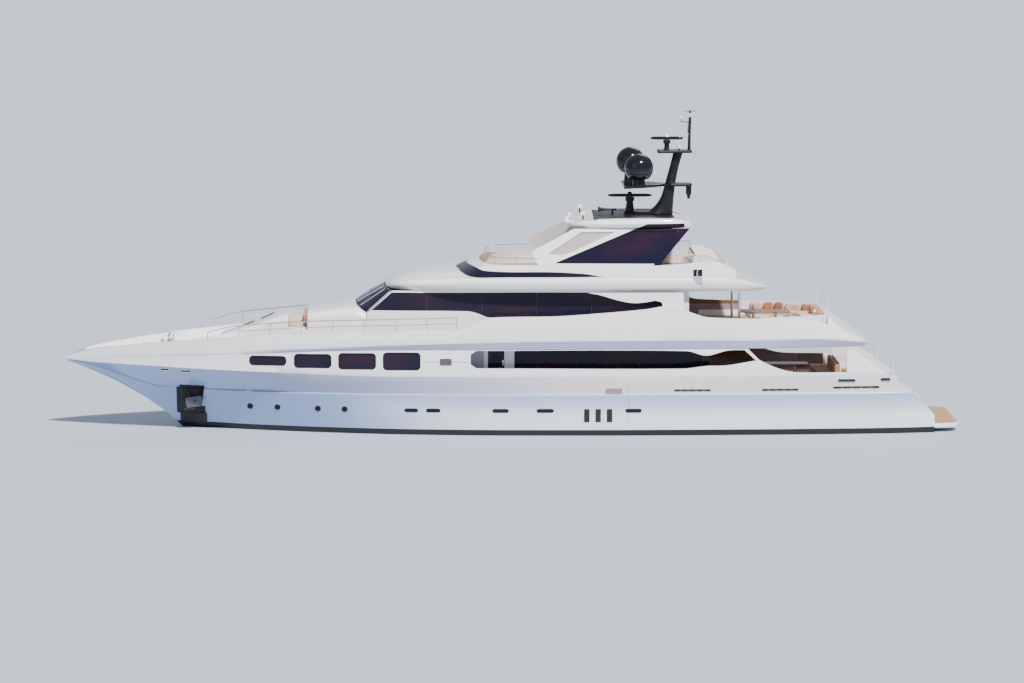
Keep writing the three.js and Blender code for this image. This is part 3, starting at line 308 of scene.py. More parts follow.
# A round tube through points; radii may change along it
def tube(points, radius, sides=10, looped=False):
    path = [Vector(p) for p in points]
    radii = radius if isinstance(radius, (list, tuple)) else [radius] * len(path)
    rings = []
    side = None
    for i, p in enumerate(path):
        before = path[i - 1] if (i > 0 or looped) else p
        after = path[(i + 1) % len(path)] if (i < len(path) - 1 or looped) else p
        along = (after - before).normalized()
        if side is None:
            side = along.orthogonal().normalized()
        side = (side - along * side.dot(along)).normalized()
        rings.append(circle(p, side, along.cross(side), radii[i], sides))
    return loft(rings, looped)


# A round body about an axis through a point: profile of (distance along, radius)
def turned(profile, origin, axis=(0, 0, 1), sides=24):
    along = Vector(axis).normalized()
    side = along.orthogonal().normalized()
    up = along.cross(side)
    return loft([circle(Vector(origin) + along * d, side, up, radius, sides) for d, radius in profile])


def remove(*pieces):
    for piece in pieces:
        mesh = piece.data
        bpy.data.objects.remove(piece)
        bpy.data.meshes.remove(mesh)


# Makes a piece's modifiers part of its mesh
def applied(piece):
    graph = bpy.context.evaluated_depsgraph_get()
    mesh = bpy.data.meshes.new_from_object(piece.evaluated_get(graph))
    piece.modifiers.clear()
    old, piece.data = piece.data, mesh
    bpy.data.meshes.remove(old)
    return piece


def combine(piece, others, operation):
    for other in others:
        change = piece.modifiers.new("change", "BOOLEAN")
        change.operation = operation
        change.object = other
        change.solver = "MANIFOLD"
    applied(piece)
    remove(*others)
    return piece


def cut(piece, *others):
    return combine(piece, others, "DIFFERENCE")


def common(piece, *others):
    return combine(piece, others, "INTERSECT")


def united(piece, *others):
    return combine(piece, others, "UNION")


# Several meshes as one piece, without joining their solids
def gathered(*pieces):
    form = bmesh.new()
    for piece in pieces:
        form.from_mesh(piece.data)
    mesh = bpy.data.meshes.new("gathered")
    form.to_mesh(mesh)
    form.free()
    remove(*pieces)
    return placed("gathered", mesh)


def copied(piece):
    return placed("copy", piece.data.copy())


def mirrored(piece):
    def flip(form):
        bmesh.ops.scale(form, vec=(1, -1, 1), verts=form.verts)
        bmesh.ops.reverse_faces(form, faces=form.faces)

    return editMesh(copied(piece), flip)


def bothSides(piece):
    return gathered(piece, mirrored(piece))


# Cuts the faces of a piece along lines seen from the side, so that a finish can change there
def split(piece, outline):
    def work(form):
        bmesh.ops.triangulate(form, faces=form.faces[:])
        for (x0, z0), (x1, z1) in zip(outline, outline[1:] + outline[:1]):
            across = Vector((z1 - z0, 0, x0 - x1))
            bmesh.ops.bisect_plane(
                form, geom=form.verts[:] + form.edges[:] + form.faces[:], dist=1e-6,
                plane_co=Vector((x0, 0, z0)) * modelScale, plane_no=across,
            )

    return editMesh(piece, work)


# The record's slot for each finish
slotFinishes = {
    "hull_paint": "hull", "white_paint": "white under band deck panel lining side", "teak": "teak wood",
    "dark_glass": "glass lens red green", "steel": "steel", "bronze": "bronze", "bottom_paint": "bottom",
    "engine_paint": "engine", "black_paint": "black rubber grey", "black_gloss": "gloss",
    "cushion": "cushion pale ivory orange brown",
}
slotOf = {finish: slot for slot, finishes in slotFinishes.items() for finish in finishes.split()}


# The last step of every piece or list of pieces: name, finishes, body and the solid that it stands for.
# Where there are several finishes, choose gives the number of each face's own
def dress(piece, name, finishes, slot=None, body="root", stands=None, choose=None, angle=32):
    piece = gathered(*piece) if isinstance(piece, list) else piece
    mesh = piece.data
    piece.name = mesh.name = name
    mesh.materials.clear()
    for finish in finishes.split():
        mesh.materials.append(paints[finish])
    marks = [choose(p.normal, p.center / modelScale) if choose else 0 for p in mesh.polygons]
    mesh.polygons.foreach_set("material_index", marks)
    mesh.polygons.foreach_set("use_smooth", [True] * len(marks))
    mesh.set_sharp_from_angle(angle=math.radians(angle))
    even = piece.modifiers.new("even", "WEIGHTED_NORMAL")
    even.keep_sharp = True
    even.weight = 60
    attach(piece, body)
    slot or slotOf[finishes.split()[0]]
    if stands:
        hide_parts(stands)
    return piece


def dressPair(piece, name, finishes, slot=None, body=None, stands=None, **rest):
    piece = gathered(*piece) if isinstance(piece, list) else piece
    for side, one in (("port", piece), ("starboard", mirrored(piece))):
        rides = f"{body}_{side}" if body else "root"
        dress(one, f"{name}_{side}", finishes, slot, rides, f"{stands}_{side}" if stands else None, **rest)


# Camera, at the photograph's viewing angle: port side, bow to the left, from a little above
view = {"eye": (6.05, 230.92, 32.5), "aim": (-0.02, 0.0, 4.35), "lens": 158}


def makeCamera():
    camera = placed("camera", bpy.data.cameras.new("camera"))
    eye, aim = Vector(view["eye"]) * modelScale, Vector(view["aim"]) * modelScale
    camera.location = eye
    camera.rotation_euler = (aim - eye).to_track_quat("-Z", "Y").to_euler()
    camera.data.lens = view["lens"]
    camera.data.sensor_width = 36
    camera.data.clip_end = 4000
    bpy.context.scene.camera = camera
    print("camera set")


makeCamera()


# Shader maths: a socket that can be added and multiplied
class Wire:
    def __init__(self, finish, socket):
        self.finish = finish
        self.socket = socket

    def math(self, operation, *others):
        return self.finish.node("ShaderNodeMath", {"operation": operation}, [self, *others])

    def __add__(self, other):
        return self.math("ADD", other)

    __radd__ = __add__

    def __mul__(self, other):
        return self.math("MULTIPLY", other)

    __rmul__ = __mul__

    def __sub__(self, other):
        return self.math("SUBTRACT", other)

    def __rsub__(self, other):
        return self.finish.node("ShaderNodeMath", {"operation": "SUBTRACT"}, [other, self])

    def between(self, low, high):
        sockets = {"Value": self, "From Min": low, "From Max": high}
        return self.finish.node("ShaderNodeMapRange", {"interpolation_type": "SMOOTHSTEP"}, sockets)


class Finish:
    def __init__(self, name):
        self.material = bpy.data.materials.new(name)
        self.material.use_nodes = True
        self.tree = self.material.node_tree
        self.tree.nodes.clear()
        self.place = self.node("ShaderNodeTexCoord", output="Object")
        self.x, self.y, self.z = (self.node("ShaderNodeSeparateXYZ", {}, [self.place], axis) for axis in "XYZ")

    def node(self, kind, settings=None, sockets=None, output=0):
        made = self.tree.nodes.new(kind)
        for key, value in (settings or {}).items():
            setattr(made, key, value)
        pairs = sockets.items() if isinstance(sockets, dict) else enumerate(sockets or [])
        for key, value in pairs:
            if isinstance(value, Wire):
                self.tree.links.new(value.socket, made.inputs[key])
            else:
                made.inputs[key].default_value = value
        return Wire(self, made.outputs[output]) if len(made.outputs) else None

    # Mixes two colours, each a wire or the name of a tone
    def blendOf(self, factor, first, second):
        first, second = (tones[one] if isinstance(one, str) else one for one in (first, second))
        return self.node("ShaderNodeMix", {"data_type": "RGBA"}, {0: factor, 6: first, 7: second}, 2)

    def stretched(self, x, y, z):
        return self.node("ShaderNodeMapping", {}, {"Vector": self.place, "Scale": (x, y, z)})

    def noise(self, scale, detail=3.0, roughness=0.5, place=None):
        sockets = {"Vector": place or self.place, "Scale": scale, "Detail": detail, "Roughness": roughness}
        return self.node("ShaderNodeTexNoise", {}, sockets)

    def bump(self, height, distance, strength=1.0):
        return self.node("ShaderNodeBump", {}, {"Strength": strength, "Distance": distance, "Height": height})

    def done(self, **values):
        names = {
            "colour": "Base Color", "rough": "Roughness", "metal": "Metallic", "normal": "Normal", "ior": "IOR",
            "coat": "Coat Weight", "coatRough": "Coat Roughness", "sheen": "Sheen Weight",
            "shine": "Specular IOR Level",
        }
        skin = self.node("ShaderNodeBsdfPrincipled", {}, {names[key]: value for key, value in values.items()})
        self.node("ShaderNodeOutputMaterial", {}, {"Surface": skin})
        return self.material

    # Two colours mixed by share, and grain for the bump with its distance and strength
    def mixed(self, share, first, second, rough, grain, distance, strength, **rest):
        colour, normal = self.blendOf(share, first, second), self.bump(grain, distance, strength)
        return self.done(colour=colour, rough=rough, normal=normal, **rest)


def rgb(r, g, b):
    return (r, g, b, 1.0)


# Finishes
# shade, warmWhite and lowerHull are painted shade and painted sea reflection on the hull; panel, lining and sidePanel
# serve as painted shade in the arch's recess, under the overhangs and at the saloon's fore end
tones = {
    "topsides": rgb(0.86, 0.855, 0.87), "warmWhite": rgb(0.76, 0.7, 0.74), "lowerWhite": rgb(0.8, 0.83, 0.87),
    "shade": rgb(0.35, 0.37, 0.53), "lowerHull": rgb(0.27, 0.37, 0.62), "grime": rgb(0.52, 0.5, 0.46),
    "bootTop": rgb(0.008, 0.009, 0.014), "antifouling": rgb(0.016, 0.02, 0.034), "black": rgb(0.007, 0.008, 0.011),
    "glass": rgb(0.009, 0.009, 0.024), "glassWarm": rgb(0.026, 0.011, 0.022), "lens": rgb(0.75, 0.78, 0.8),
    "portLamp": rgb(0.22, 0.008, 0.01), "starboardLamp": rgb(0.01, 0.16, 0.04), "caulk": rgb(0.014, 0.013, 0.012),
    "teak": rgb(0.42, 0.255, 0.14), "teakDark": rgb(0.3, 0.17, 0.09), "wood": rgb(0.12, 0.05, 0.025),
    "panel": rgb(0.37, 0.3, 0.31), "lining": rgb(0.3, 0.19, 0.19), "sidePanel": rgb(0.4, 0.4, 0.47),
    "greyPanel": rgb(0.3, 0.31, 0.34), "hatch": rgb(0.12, 0.12, 0.145), "rubber": rgb(0.02, 0.02, 0.022),
    "steel": rgb(0.7, 0.72, 0.75), "bronze": rgb(0.55, 0.36, 0.14), "patina": rgb(0.2, 0.33, 0.27),
    "engine": rgb(0.42, 0.45, 0.48), "cushion": rgb(0.44, 0.2, 0.13), "cushionPale": rgb(0.64, 0.48, 0.43),
    "ivory": rgb(0.78, 0.73, 0.7), "orange": rgb(0.55, 0.16, 0.05),
}
heights = {"bootTop": 0.15, "ledge": 1.06, "knee": 1.535}  # model metres, as every place in the finishes


# White hull paint with painted shade between the ledge and the knee and painted sea reflection below the ledge; the
# streaks near the waterline are dirt
def hullPaint():
    finish = Finish("hullPaint")
    bootTop, ledgeTop, knee = heights["bootTop"], heights["ledge"], heights["knee"]
    worn = finish.noise(0.35, 4, 0.6)
    streaks = finish.noise(1.6, 4, 0.65, finish.stretched(3.0, 3.0, 0.18)).between(0.56, 0.8)
    near = 1 - finish.z.between(0.1, 0.85)
    white = finish.blendOf(worn * 0.12, "topsides", "shade")
    # Between the ledge and the knee: painted shade, lavender forward and pale pink aft
    shade = finish.blendOf(finish.x.between(-3.5, 5.5) + worn * 0.15, "warmWhite", "shade")
    # towards the bow the painted shade turns into painted sea-blue reflection
    shade = finish.blendOf(finish.x.between(5.0, 8.5), shade, "lowerHull")
    # Below the ledge: painted sea-blue reflection, full forward and on the upper part further aft
    seaReflectionShare = finish.x.between(0.5, 5.0).math("MAXIMUM", finish.z.between(0.4, 1.0) * 0.8)
    lower = finish.blendOf(seaReflectionShare, "lowerWhite", "lowerHull")
    low = finish.blendOf(finish.z.between(ledgeTop - 0.006, ledgeTop + 0.012), lower, shade)
    kneeLine = finish.z - (finish.x - 3.4).math("MAXIMUM", 0) * 0.028
    high = finish.blendOf(kneeLine.between(knee - 0.006, knee + 0.004), low, white)
    soiled = finish.blendOf(streaks * near * 0.35, high, "grime")
    banded = finish.blendOf(finish.z.between(bootTop - 0.002, bootTop + 0.002), "bootTop", soiled)
    bottom = finish.blendOf(finish.noise(9, 5, 0.7).between(0.4, 0.75), "antifouling", "bootTop")
    above = finish.z.between(bootTop - 0.004, bootTop + 0.004)
    rough = 0.16 + worn * 0.08 + streaks * near * 0.2 + (1 - above) * 0.3
    height = finish.noise(1.1, 2, 0.5) * 0.6 + finish.noise(60, 2) * 0.02
    afloat = finish.z.between(-0.002, 0.002)
    return finish.mixed(afloat, bottom, banded, rough, height, 0.006, 0.35, coat=above * 0.9, coatRough=0.06)


def whitePaint(name="whitePaint", main="topsides"):
    finish = Finish(name)
    worn = finish.noise(0.6, 5, 0.6)
    rain = finish.noise(2.4, 4, 0.7, finish.stretched(2.6, 2.6, 0.3)).between(0.58, 0.85)
    white = finish.blendOf(worn * 0.1, main, "shade")
    rough = 0.2 + worn * 0.12 + rain * 0.12
    height = finish.noise(1.4, 2) * 0.4 + finish.noise(80, 2) * 0.02
    return finish.mixed(rain * 0.1, white, "grime", rough, height, 0.004, 0.3, coat=0.5, coatRough=0.08)


# The upper band: white, shaded below its crease, which dips towards both ends
def bandPaint():
    finish = Finish("bandPaint")
    worn = finish.noise(0.6, 5, 0.6)
    rise = (finish.x + 3).math("MAXIMUM", 0)
    fall = (-7.25 - finish.x).math("MAXIMUM", 0)
    line = finish.z + rise * rise * 0.0032 + fall * fall * 0.07
    shaded = (1 - line.between(2.44, 2.455)) * (1 - finish.x.between(5.5, 7.2))
    share = shaded.math("MAXIMUM", worn * 0.1)
    rough = 0.2 + worn * 0.12 + shaded * 0.1
    height = finish.noise(1.4, 2) * 0.4 + finish.noise(80, 2) * 0.02
    return finish.mixed(share, "topsides", "shade", rough, height, 0.004, 0.3, coat=0.5, coatRough=0.08)


def deckPaint(name="deckPaint", main="topsides"):
    finish = Finish(name)
    grain = finish.noise(170, 3, 0.7)
    worn = finish.noise(1.3, 4, 0.6)
    return finish.mixed(worn * 0.3, main, "shade", 0.55 + grain * 0.2, grain, 0.002, 0.6)


def darkGlass():
    finish = Finish("darkGlass")
    rooms = finish.noise(0.55, 3, 0.6, finish.stretched(1.0, 0.4, 2.2)).between(0.35, 0.7)
    rough = 0.04 + finish.noise(3.5, 4, 0.6) * 0.06
    return finish.mixed(rooms, "glass", "glassWarm", rough, finish.noise(0.8, 1), 0.003, 0.2, ior=1.5, shine=0.16)


# Planks run fore and aft, with dark seams and a butt joint now and then
planks = {"width": 0.036, "seam": 0.075, "length": 1.7}


def teakDeck():
    finish = Finish("teakDeck")
    across = finish.y * (1 / planks["width"])
    row = across.math("FLOOR")
    chance = lambda value: finish.node("ShaderNodeTexWhiteNoise", {"noise_dimensions": "1D"}, {"W": value})
    edge = planks["seam"]
    seam = (across.math("FRACT") - 0.5).math("ABSOLUTE").between(0.5 - edge, 0.5 - edge * 0.55)
    shift = chance(row)
    along = finish.x * (1 / planks["length"]) + shift * 3.0
    butt = (along.math("FRACT") - 0.5).math("ABSOLUTE").between(0.4968, 0.4984)
    piece = chance(row * 7.3 + along.math("FLOOR"))
    grain = finish.noise(26, 5, 0.65, finish.stretched(0.5, 7.0, 2.0))
    wood = finish.blendOf(piece * 0.55 + grain * 0.35, "teak", "teakDark")
    joint = seam.math("MAXIMUM", butt)
    return finish.mixed(joint, wood, "caulk", 0.5 + grain * 0.25, grain * 0.25 + (1 - joint), 0.0016, 0.5)


def varnishedWood():
    finish = Finish("varnishedWood")
    grain = finish.noise(12, 5, 0.6, finish.stretched(0.6, 6.0, 6.0))
    rough = 0.22 + grain * 0.15
    return finish.mixed(grain * 0.55, "wood", "teakDark", rough, grain, 0.001, 0.3, coat=0.6, coatRough=0.08)


def polishedSteel():
    finish = Finish("polishedSteel")
    rub = finish.noise(40, 4, 0.6, finish.stretched(1.0, 1.0, 0.2))
    dulled = finish.noise(3, 4).between(0.5, 0.8) * 0.3
    return finish.mixed(dulled, "steel", "greyPanel", 0.14 + rub * 0.16, rub, 0.0006, 0.3, metal=1.0)


def bronzeMetal():
    finish = Finish("bronzeMetal")
    aged = finish.noise(7, 5, 0.65).between(0.5, 0.8)
    rough, cast = 0.26 + aged * 0.35, finish.noise(60, 3)
    return finish.mixed(aged * 0.6, "bronze", "patina", rough, cast, 0.0008, 0.4, metal=1 - aged * 0.5)


def bottomPaint():
    finish = Finish("bottomPaint")
    patch = finish.noise(9, 5, 0.7)
    share, rough = patch.between(0.4, 0.75), 0.6 + patch * 0.2
    return finish.mixed(share, "antifouling", "bootTop", rough, finish.noise(70, 3), 0.0012, 0.5)


def blackPaint():
    finish = Finish("blackPaint")
    worn = finish.noise(6, 5, 0.65)
    share, rough = worn.between(0.5, 0.8) * 0.08, 0.3 + worn * 0.2
    return finish.mixed(share, "black", "greyPanel", rough, finish.noise(90, 2), 0.0006, 0.3, shine=0.25)


def blackGloss():
    finish = Finish("blackGloss")
    worn = finish.noise(4, 4, 0.6)
    rough, height = 0.08 + worn * 0.08, finish.noise(1.5, 2)
    return finish.mixed(worn * 0.2, "black", "bootTop", rough, height, 0.002, 0.2, shine=0.3)


def wovenCloth(name, main, second):
    finish = Finish(name)
    thread = 2 * math.pi / 0.006
    warp = ((finish.x + finish.z * 0.7) * thread).math("SINE")
    weft = ((finish.y + finish.z * 0.7) * thread).math("SINE")
    weave = (warp * weft) * 0.5 + 0.5
    faded = finish.noise(2.2, 4, 0.6)
    share = faded.between(0.35, 0.75) * 0.6 + weave * 0.15
    return finish.mixed(share, main, second, 0.85 + weave * 0.1, weave + faded * 2.0, 0.0012, 0.5, sheen=0.25)


def enginePaint():
    finish = Finish("enginePaint")
    oil = finish.noise(5, 5, 0.7).between(0.5, 0.8)
    rough, height = 0.4 + oil * 0.25, finish.noise(50, 4)
    return finish.mixed(oil * 0.5, "engine", "rubber", rough, height, 0.001, 0.5, metal=0.2)


def greyPanel():
    finish = Finish("greyPanel")
    worn = finish.noise(5, 4, 0.6)
    rough, height = 0.35 + worn * 0.2, finish.noise(120, 2)
    return finish.mixed(worn * 0.4, "hatch", "black", rough, height, 0.0005, 0.4, metal=0.4)


def rubberSeal():
    finish = Finish("rubberSeal")
    worn = finish.noise(15, 4, 0.6)
    return finish.mixed(worn * 0.5, "rubber", "black", 0.6 + worn * 0.2, worn, 0.0008, 0.4)


def lampLens(name, colour):
    finish = Finish(name)
    ribs = (finish.z * 900).math("SINE")
    rough = 0.08 + finish.noise(20, 2) * 0.08
    return finish.mixed(finish.noise(30, 2) * 0.12, colour, "lens", rough, ribs, 0.0006, 0.4, coat=1.0)


paints = {
    "hull": hullPaint(), "white": whitePaint(), "under": whitePaint("shadedWhite", "shade"), "band": bandPaint(),
    "deck": deckPaint(), "panel": deckPaint("archPanel", "panel"), "lining": deckPaint("liningPanel", "lining"),
    "side": deckPaint("sidePanel", "sidePanel"), "teak": teakDeck(), "wood": varnishedWood(), "glass": darkGlass(),
    "lens": lampLens("clearLens", "lens"), "red": lampLens("redLens", "portLamp"),
    "green": lampLens("greenLens", "starboardLamp"), "steel": polishedSteel(), "bronze": bronzeMetal(),
    "bottom": bottomPaint(), "black": blackPaint(), "gloss": blackGloss(), "grey": greyPanel(),
    "rubber": rubberSeal(), "engine": enginePaint(), "cushion": wovenCloth("seatCloth", "cushion", "teakDark"),
    "pale": wovenCloth("loungeCloth", "cushionPale", "cushion"),
    "ivory": wovenCloth("padCloth", "ivory", "cushionPale"), "orange": wovenCloth("pillowCloth", "orange", "wood"),
    "brown": wovenCloth("darkPillowCloth", "wood", "cushion"),
}
print("finishes mixed")


# Floor and light
studio = {
    "floor": rgb(0.37, 0.43, 0.51), "radius": 1500, "sky": rgb(0.78, 0.84, 0.97), "skyStrength": 0.5,
    "lights": (  # name, direction, strength, softness in degrees, colour
        ("keyLight", (0.42, -0.9, -1.3), 8.0, 4, (1.0, 0.97, 0.93)),
        ("fillLight", (-0.8, -0.9, -0.5), 0.3, 40, (0.85, 0.9, 1.0)),
        ("rimLight", (0.3, 1.0, -0.7), 0.6, 25, (0.95, 0.97, 1.0)),
    ),
}


def makeStudio():
    floor = placed("floor", bpy.data.meshes.new("floor"))
    disc = {"cap_ends": True, "radius": studio["radius"], "segments": 96}
    editMesh(floor, lambda form: bmesh.ops.create_circle(form, **disc))
    finish = Finish("paleFloor")
    tone = finish.blendOf(finish.noise(0.02, 3) * 0.08, studio["floor"], "shade")
    floor.data.materials.append(finish.done(colour=tone, rough=0.75 + finish.noise(0.3, 2) * 0.1))
    floor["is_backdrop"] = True
    world = bpy.data.worlds.new("studio")
    bpy.context.scene.world = world
    world.use_nodes = True
    sky = world.node_tree.nodes["Background"].inputs
    sky["Color"].default_value, sky["Strength"].default_value = studio["sky"], studio["skyStrength"]
    for name, aim, strength, softness, colour in studio["lights"]:
        lamp = placed(name, bpy.data.lights.new(name, "SUN"))
        lamp.data.energy = strength
        lamp.data.angle = math.radians(softness)
        lamp.data.color = colour
        lamp.rotation_euler = Vector(aim).to_track_quat("-Z", "Y").to_euler()
    print("floor and light set")


makeStudio()


# Hull and decks
ledge = {"depth": 0.1, "rise": 0.05, "endsAt": 17}
garage = {"x": (-22.9, -16.9), "half": 1.7, "z": (0.5, 2.2)}
engineRoom = {"x": (-10.5, -3.5), "half": 2.7, "z": (-1.1, 3)}
anchorPocket = [(17.3, 0.75), (16.1, 0.75), (15.85, 2.3), (17.15, 2.3)]
stairs = {"top": -18.6, "foot": -21.6, "steps": 8, "y0": 2.05, "y1": 3.1}
transomLine = ((-18.7, 2.6), (-21.3, 0.45))
quarterLine = [(-17.15, 4.6), (-18.4, 3.6), (-19.4, 2.9), (-20.3, 2.2), (-21.1, 1.45), (-21.6, 0.9)]
hullFine = {"rings": 150, "bilge": 6, "side": 2}


def subdivided(points, steps):
    line = []
    for a, b in zip(points, points[1:]):
        line += [tuple(a[k] + (b[k] - a[k]) * i / steps for k in range(2)) for i in range(steps)]
    return line + [tuple(points[-1])]


def acrossShip(x, half):
    port = [(x, y, z) for y, z in half]
    starboard = [(x, -y, z) for y, z in half if y > 1e-9][::-1]
    return port + starboard


def hullHalf(x, inset=0.0):
    c = hullAt(x)
    corners = [(0.0, c[0] + inset)]
    for i in range(1, 17, 2):
        corners.append((max(c[i] - inset, 0.01 * (i + 1) / 2), c[i + 1] + (inset if i < 4 else 0)))
        if i == 7:
            depth = ledge["depth"] * min(1, max(0.1, (ledge["endsAt"] - x) / 4))
            corners.append((corners[-1][0] - depth, corners[-1][1] + ledge["rise"]))
    return smoothLine(corners[:5], hullFine["bilge"]) + subdivided(corners[5:], hullFine["side"])


def hullSolid(inset=0.0):
    end = 23.0 if inset <= 0 else 16.9
    rings = hullFine["rings"] if inset <= 0 else hullFine["rings"] * 2 // 3
    return loft([acrossShip(x, hullHalf(x, inset)) for x in np.linspace(-21.6, end, rings)])


# Where the ship's side is at a place and height, and which way it faces there
def sideY(x, z):
    half = hullHalf(x)
    best = half[-1][0]
    for (y0, z0), (y1, z1) in zip(half, half[1:]):
        if z0 <= z <= z1 and z1 > z0:
            best = y0 + (y1 - y0) * (z - z0) / (z1 - z0)
    return best


def sideNormal(x, z):
    step = 0.04
    alongX = (sideY(x + step, z) - sideY(x - step, z)) / (2 * step)
    alongZ = (sideY(x, z + step) - sideY(x, z - step)) / (2 * step)
    return Vector((-alongX, 1, -alongZ)).normalized()


def bandHalf(x, inset=0.0, low=None, high=None):
    footZ, footY, creaseZ, creaseY, topZ, topY = bandAt(x)
    if low is not None:
        return [(footY - inset, low), (creaseY - inset, (low + high) / 2), (topY - inset, high)]
    bulge = 0.03 * min(1, (topZ - creaseZ) / 1.2)
    middle = ((creaseY + topY) / 2 + bulge, (creaseZ + topZ) / 2)
    upper = smoothLine([(creaseY, creaseZ), middle, (topY, topZ)], 4)
    return [(footY - 0.05, footZ), (footY, footZ + 0.03), *upper]


def bandSolid(inset=0.0, low=None, high=None):
    start, rings = -18.4 + inset * 2.2, hullFine["rings"]
    span = bandRows[-1][0] - start
    places = [start + span * (1 - math.cos(math.pi * 0.5 * i / (rings - 1))) for i in range(rings)]
    return loft([acrossShip(x, bandHalf(x, inset, low, high)) for x in places])


# What the stern quarters leave open behind them
def quarterCut():
    return drawn("y", [(-17.15, 6), *smoothLine(quarterLine, 6), (-23, 0.9), (-23, 6)], -5, 5)


def makeHull():
    top = levels["mainDeck"] - levels["plate"] - gap
    well = []
    for x in np.linspace(22, bowBlock - 0.3, 40):
        c, deck = hullAt(x), deckAt(x)
        well.append(acrossShip(x, [(c[11] - 0.16, deck), (c[13] - 0.16, deck + 0.2), (c[15] - 0.12, 6)]))
    (topX, topZ), (footX, footZ) = transomLine
    inner = stairs["y0"] - 0.25
    transom = drawn("y", [(topX, 6), (topX, topZ), (footX, footZ), (-23, footZ), (-23, 6)], -inner, inner)
    run = (stairs["foot"] - stairs["top"]) / stairs["steps"]
    rise = (levels["mainDeck"] - levels["platform"]) / stairs["steps"]
    outline = [(stairs["top"], 5)]
    for i in range(stairs["steps"]):
        tread = levels["mainDeck"] - (i + 1) * rise
        outline += [(stairs["top"] + i * run, tread), (stairs["top"] + (i + 1) * run, tread)]
    flight = drawn("y", [*outline, (-23, levels["platform"]), (-23, 5)], stairs["y0"], stairs["y1"])
    rooms = [box(*room["x"], -room["half"], room["half"], *room["z"]) for room in (garage, engineRoom)]
    pocket = drawn("y", anchorPocket, 0.95, 3.5)
    body = cut(hullSolid(), box(-23, bowBlock, -6, 6, top, 8))
    body = cut(body, loft(well))
    body = cut(body, transom, quarterCut())
    body = cut(body, flight, mirrored(flight))
    body = cut(body, *rooms)
    body = cut(body, pocket, mirrored(pocket))

    def surface(normal, centre):
        squareOn = abs(normal.x) > 0.8 or abs(normal.z) > 0.9 or abs(centre.y) < 0.97
        # the anchor pocket's faces are near-black: painted shade and dark reflection
        if squareOn and 15.8 < centre.x < 17.35 and 0.7 < centre.z < 2.35:
            return 2
        onFlight = centre.x < stairs["top"] and stairs["y0"] < abs(centre.y) < stairs["y1"]
        onForedeck = 13.5 < centre.x < 21 and centre.z < deckAt(centre.x) + 0.03
        if normal.z > 0.85 and (onFlight or onForedeck):
            return 1 if onFlight else 3
        return 0

    dress(body, "hull_body", "hull teak rubber deck", stands="hull", choose=surface)


shellWindows = [
    (11.6, 13.45, 3.6, 4.05), (9.3, 11.16, 3.5, 4.18), (7.03, 8.9, 3.45, 4.24), (4.77, 6.63, 3.42, 4.28),
]
sideOpening = [
    (1.9, 3.5, 1), (-8.6, 3.45), (-9.8, 3.58), (-10.8, 3.6), (-12.35, 3.85, 1), (-11.75, 4.4, 1),
    (-10.9, 4.38), (-9.8, 4.12), (-8.8, 4.36), (1.9, 4.4, 1), (2.2, 4.2, 1), (2.2, 3.7, 1),
]
liningShadeEnds = (-16.55, -15.2, -12.8, -9.9)  # where the painted shade inside the aft openings changes colour, dark wood or reddish lining
aftOpening = [
    (-12.5, 3.88, 1), (-13.3, 3.5), (-14.2, 3.25), (-15.2, 3.2, 1), (-17, 3.2, 1), (-17, 6, 1), (-11.95, 6, 1),
    (-11.95, 4.44, 1),
]


def makeShells():
    bandFoot = [(x, float(bandAt(x)[0]) - gap) for x in np.linspace(-18.4, 13.8, 80)]
    over = drawn("y", [(-25, bandFoot[0][1]), *bandFoot, (15, bandFoot[-1][1]), (15, 9), (-25, 9)], -6, 6)
    ring = cut(hullSolid(), hullSolid(walls["shell"]))
    ring = common(ring, box(-21.45, bowBlock - gap, 0.5, 6, levels["mainDeck"] - levels["plate"], 8))
    ring = cut(ring, over)
    ring = cut(ring, quarterCut())
    openings = [smoothLoop(sideOpening, 5), smoothLoop(aftOpening, 4)]
    ring = cut(ring, *[drawn("y", outline, 1, 6) for outline in openings])
    ring = cut(ring, *[drawn("y", roundedWindow(*window), 1, 6) for window in shellWindows])
    for x in liningShadeEnds:
        ring = split(ring, [(x, 0), (x, 6)])

    # Inner faces inside the aft openings: painted shade in dark wood and reddish lining colours
    def lining(normal, centre):
        aft, first, second, fore = liningShadeEnds
        if normal.y * centre.y > -0.5 or not aft < centre.x < fore:
            return 0
        return 2 if first < centre.x < second else 1

    dressPair(ring, "shell", "hull wood lining", "white_paint", stands="side_shell", choose=lining)


def makeCabinWindows():
    strip = drawn("y", [(4.6, 3.36), (13.55, 3.5), (13.55, 4.1), (4.6, 4.33)], 1, 6)
    backing = common(cut(hullSolid(walls["shell"] + gap), hullSolid(walls["shell"] + 0.05)), strip)
    panes = [drawn("y", roundedWindow(*inset(window, 0.006)), 1, 6) for window in shellWindows]
    skin = common(cut(hullSolid(0.03), hullSolid(walls["shell"] + 0.04)), gathered(*panes))
    dressPair(united(backing, skin), "cabin_window", "glass", stands="cabin_windows")
    frames = []
    for window in shellWindows:
        outline = roundedWindow(*inset(window, -0.012), 0.19)
        frames.append(tube([(x, sideY(x, z) + 0.002, z) for x, z in outline], 0.018, 6, looped=True))
    dressPair(frames, "cabin_window_frames", "rubber")


wing = [
    (-7.5, 6.3, 1), (-8.7, 6.3, 1), (-8.62, 7.33, 1), (-3.8, 7.33, 1), (-4.4, 7.22),
    (-5.2, 6.98), (-6, 6.82), (-6.6, 6.84), (-7.2, 6.94, 1), (-7.55, 6.8),
]
bulwarkJoint = -9  # where the after bulwark meets those of the sides
tail = {"head": (-16.15, 5.95), "foot": (-18.35, 4.5), "thick": 0.12}  # slope behind the settee


def tailTop(x):
    (x0, z0), (x1, z1) = tail["head"], tail["foot"]
    return z0 + (x - x0) * (z1 - z0) / (x1 - x0)


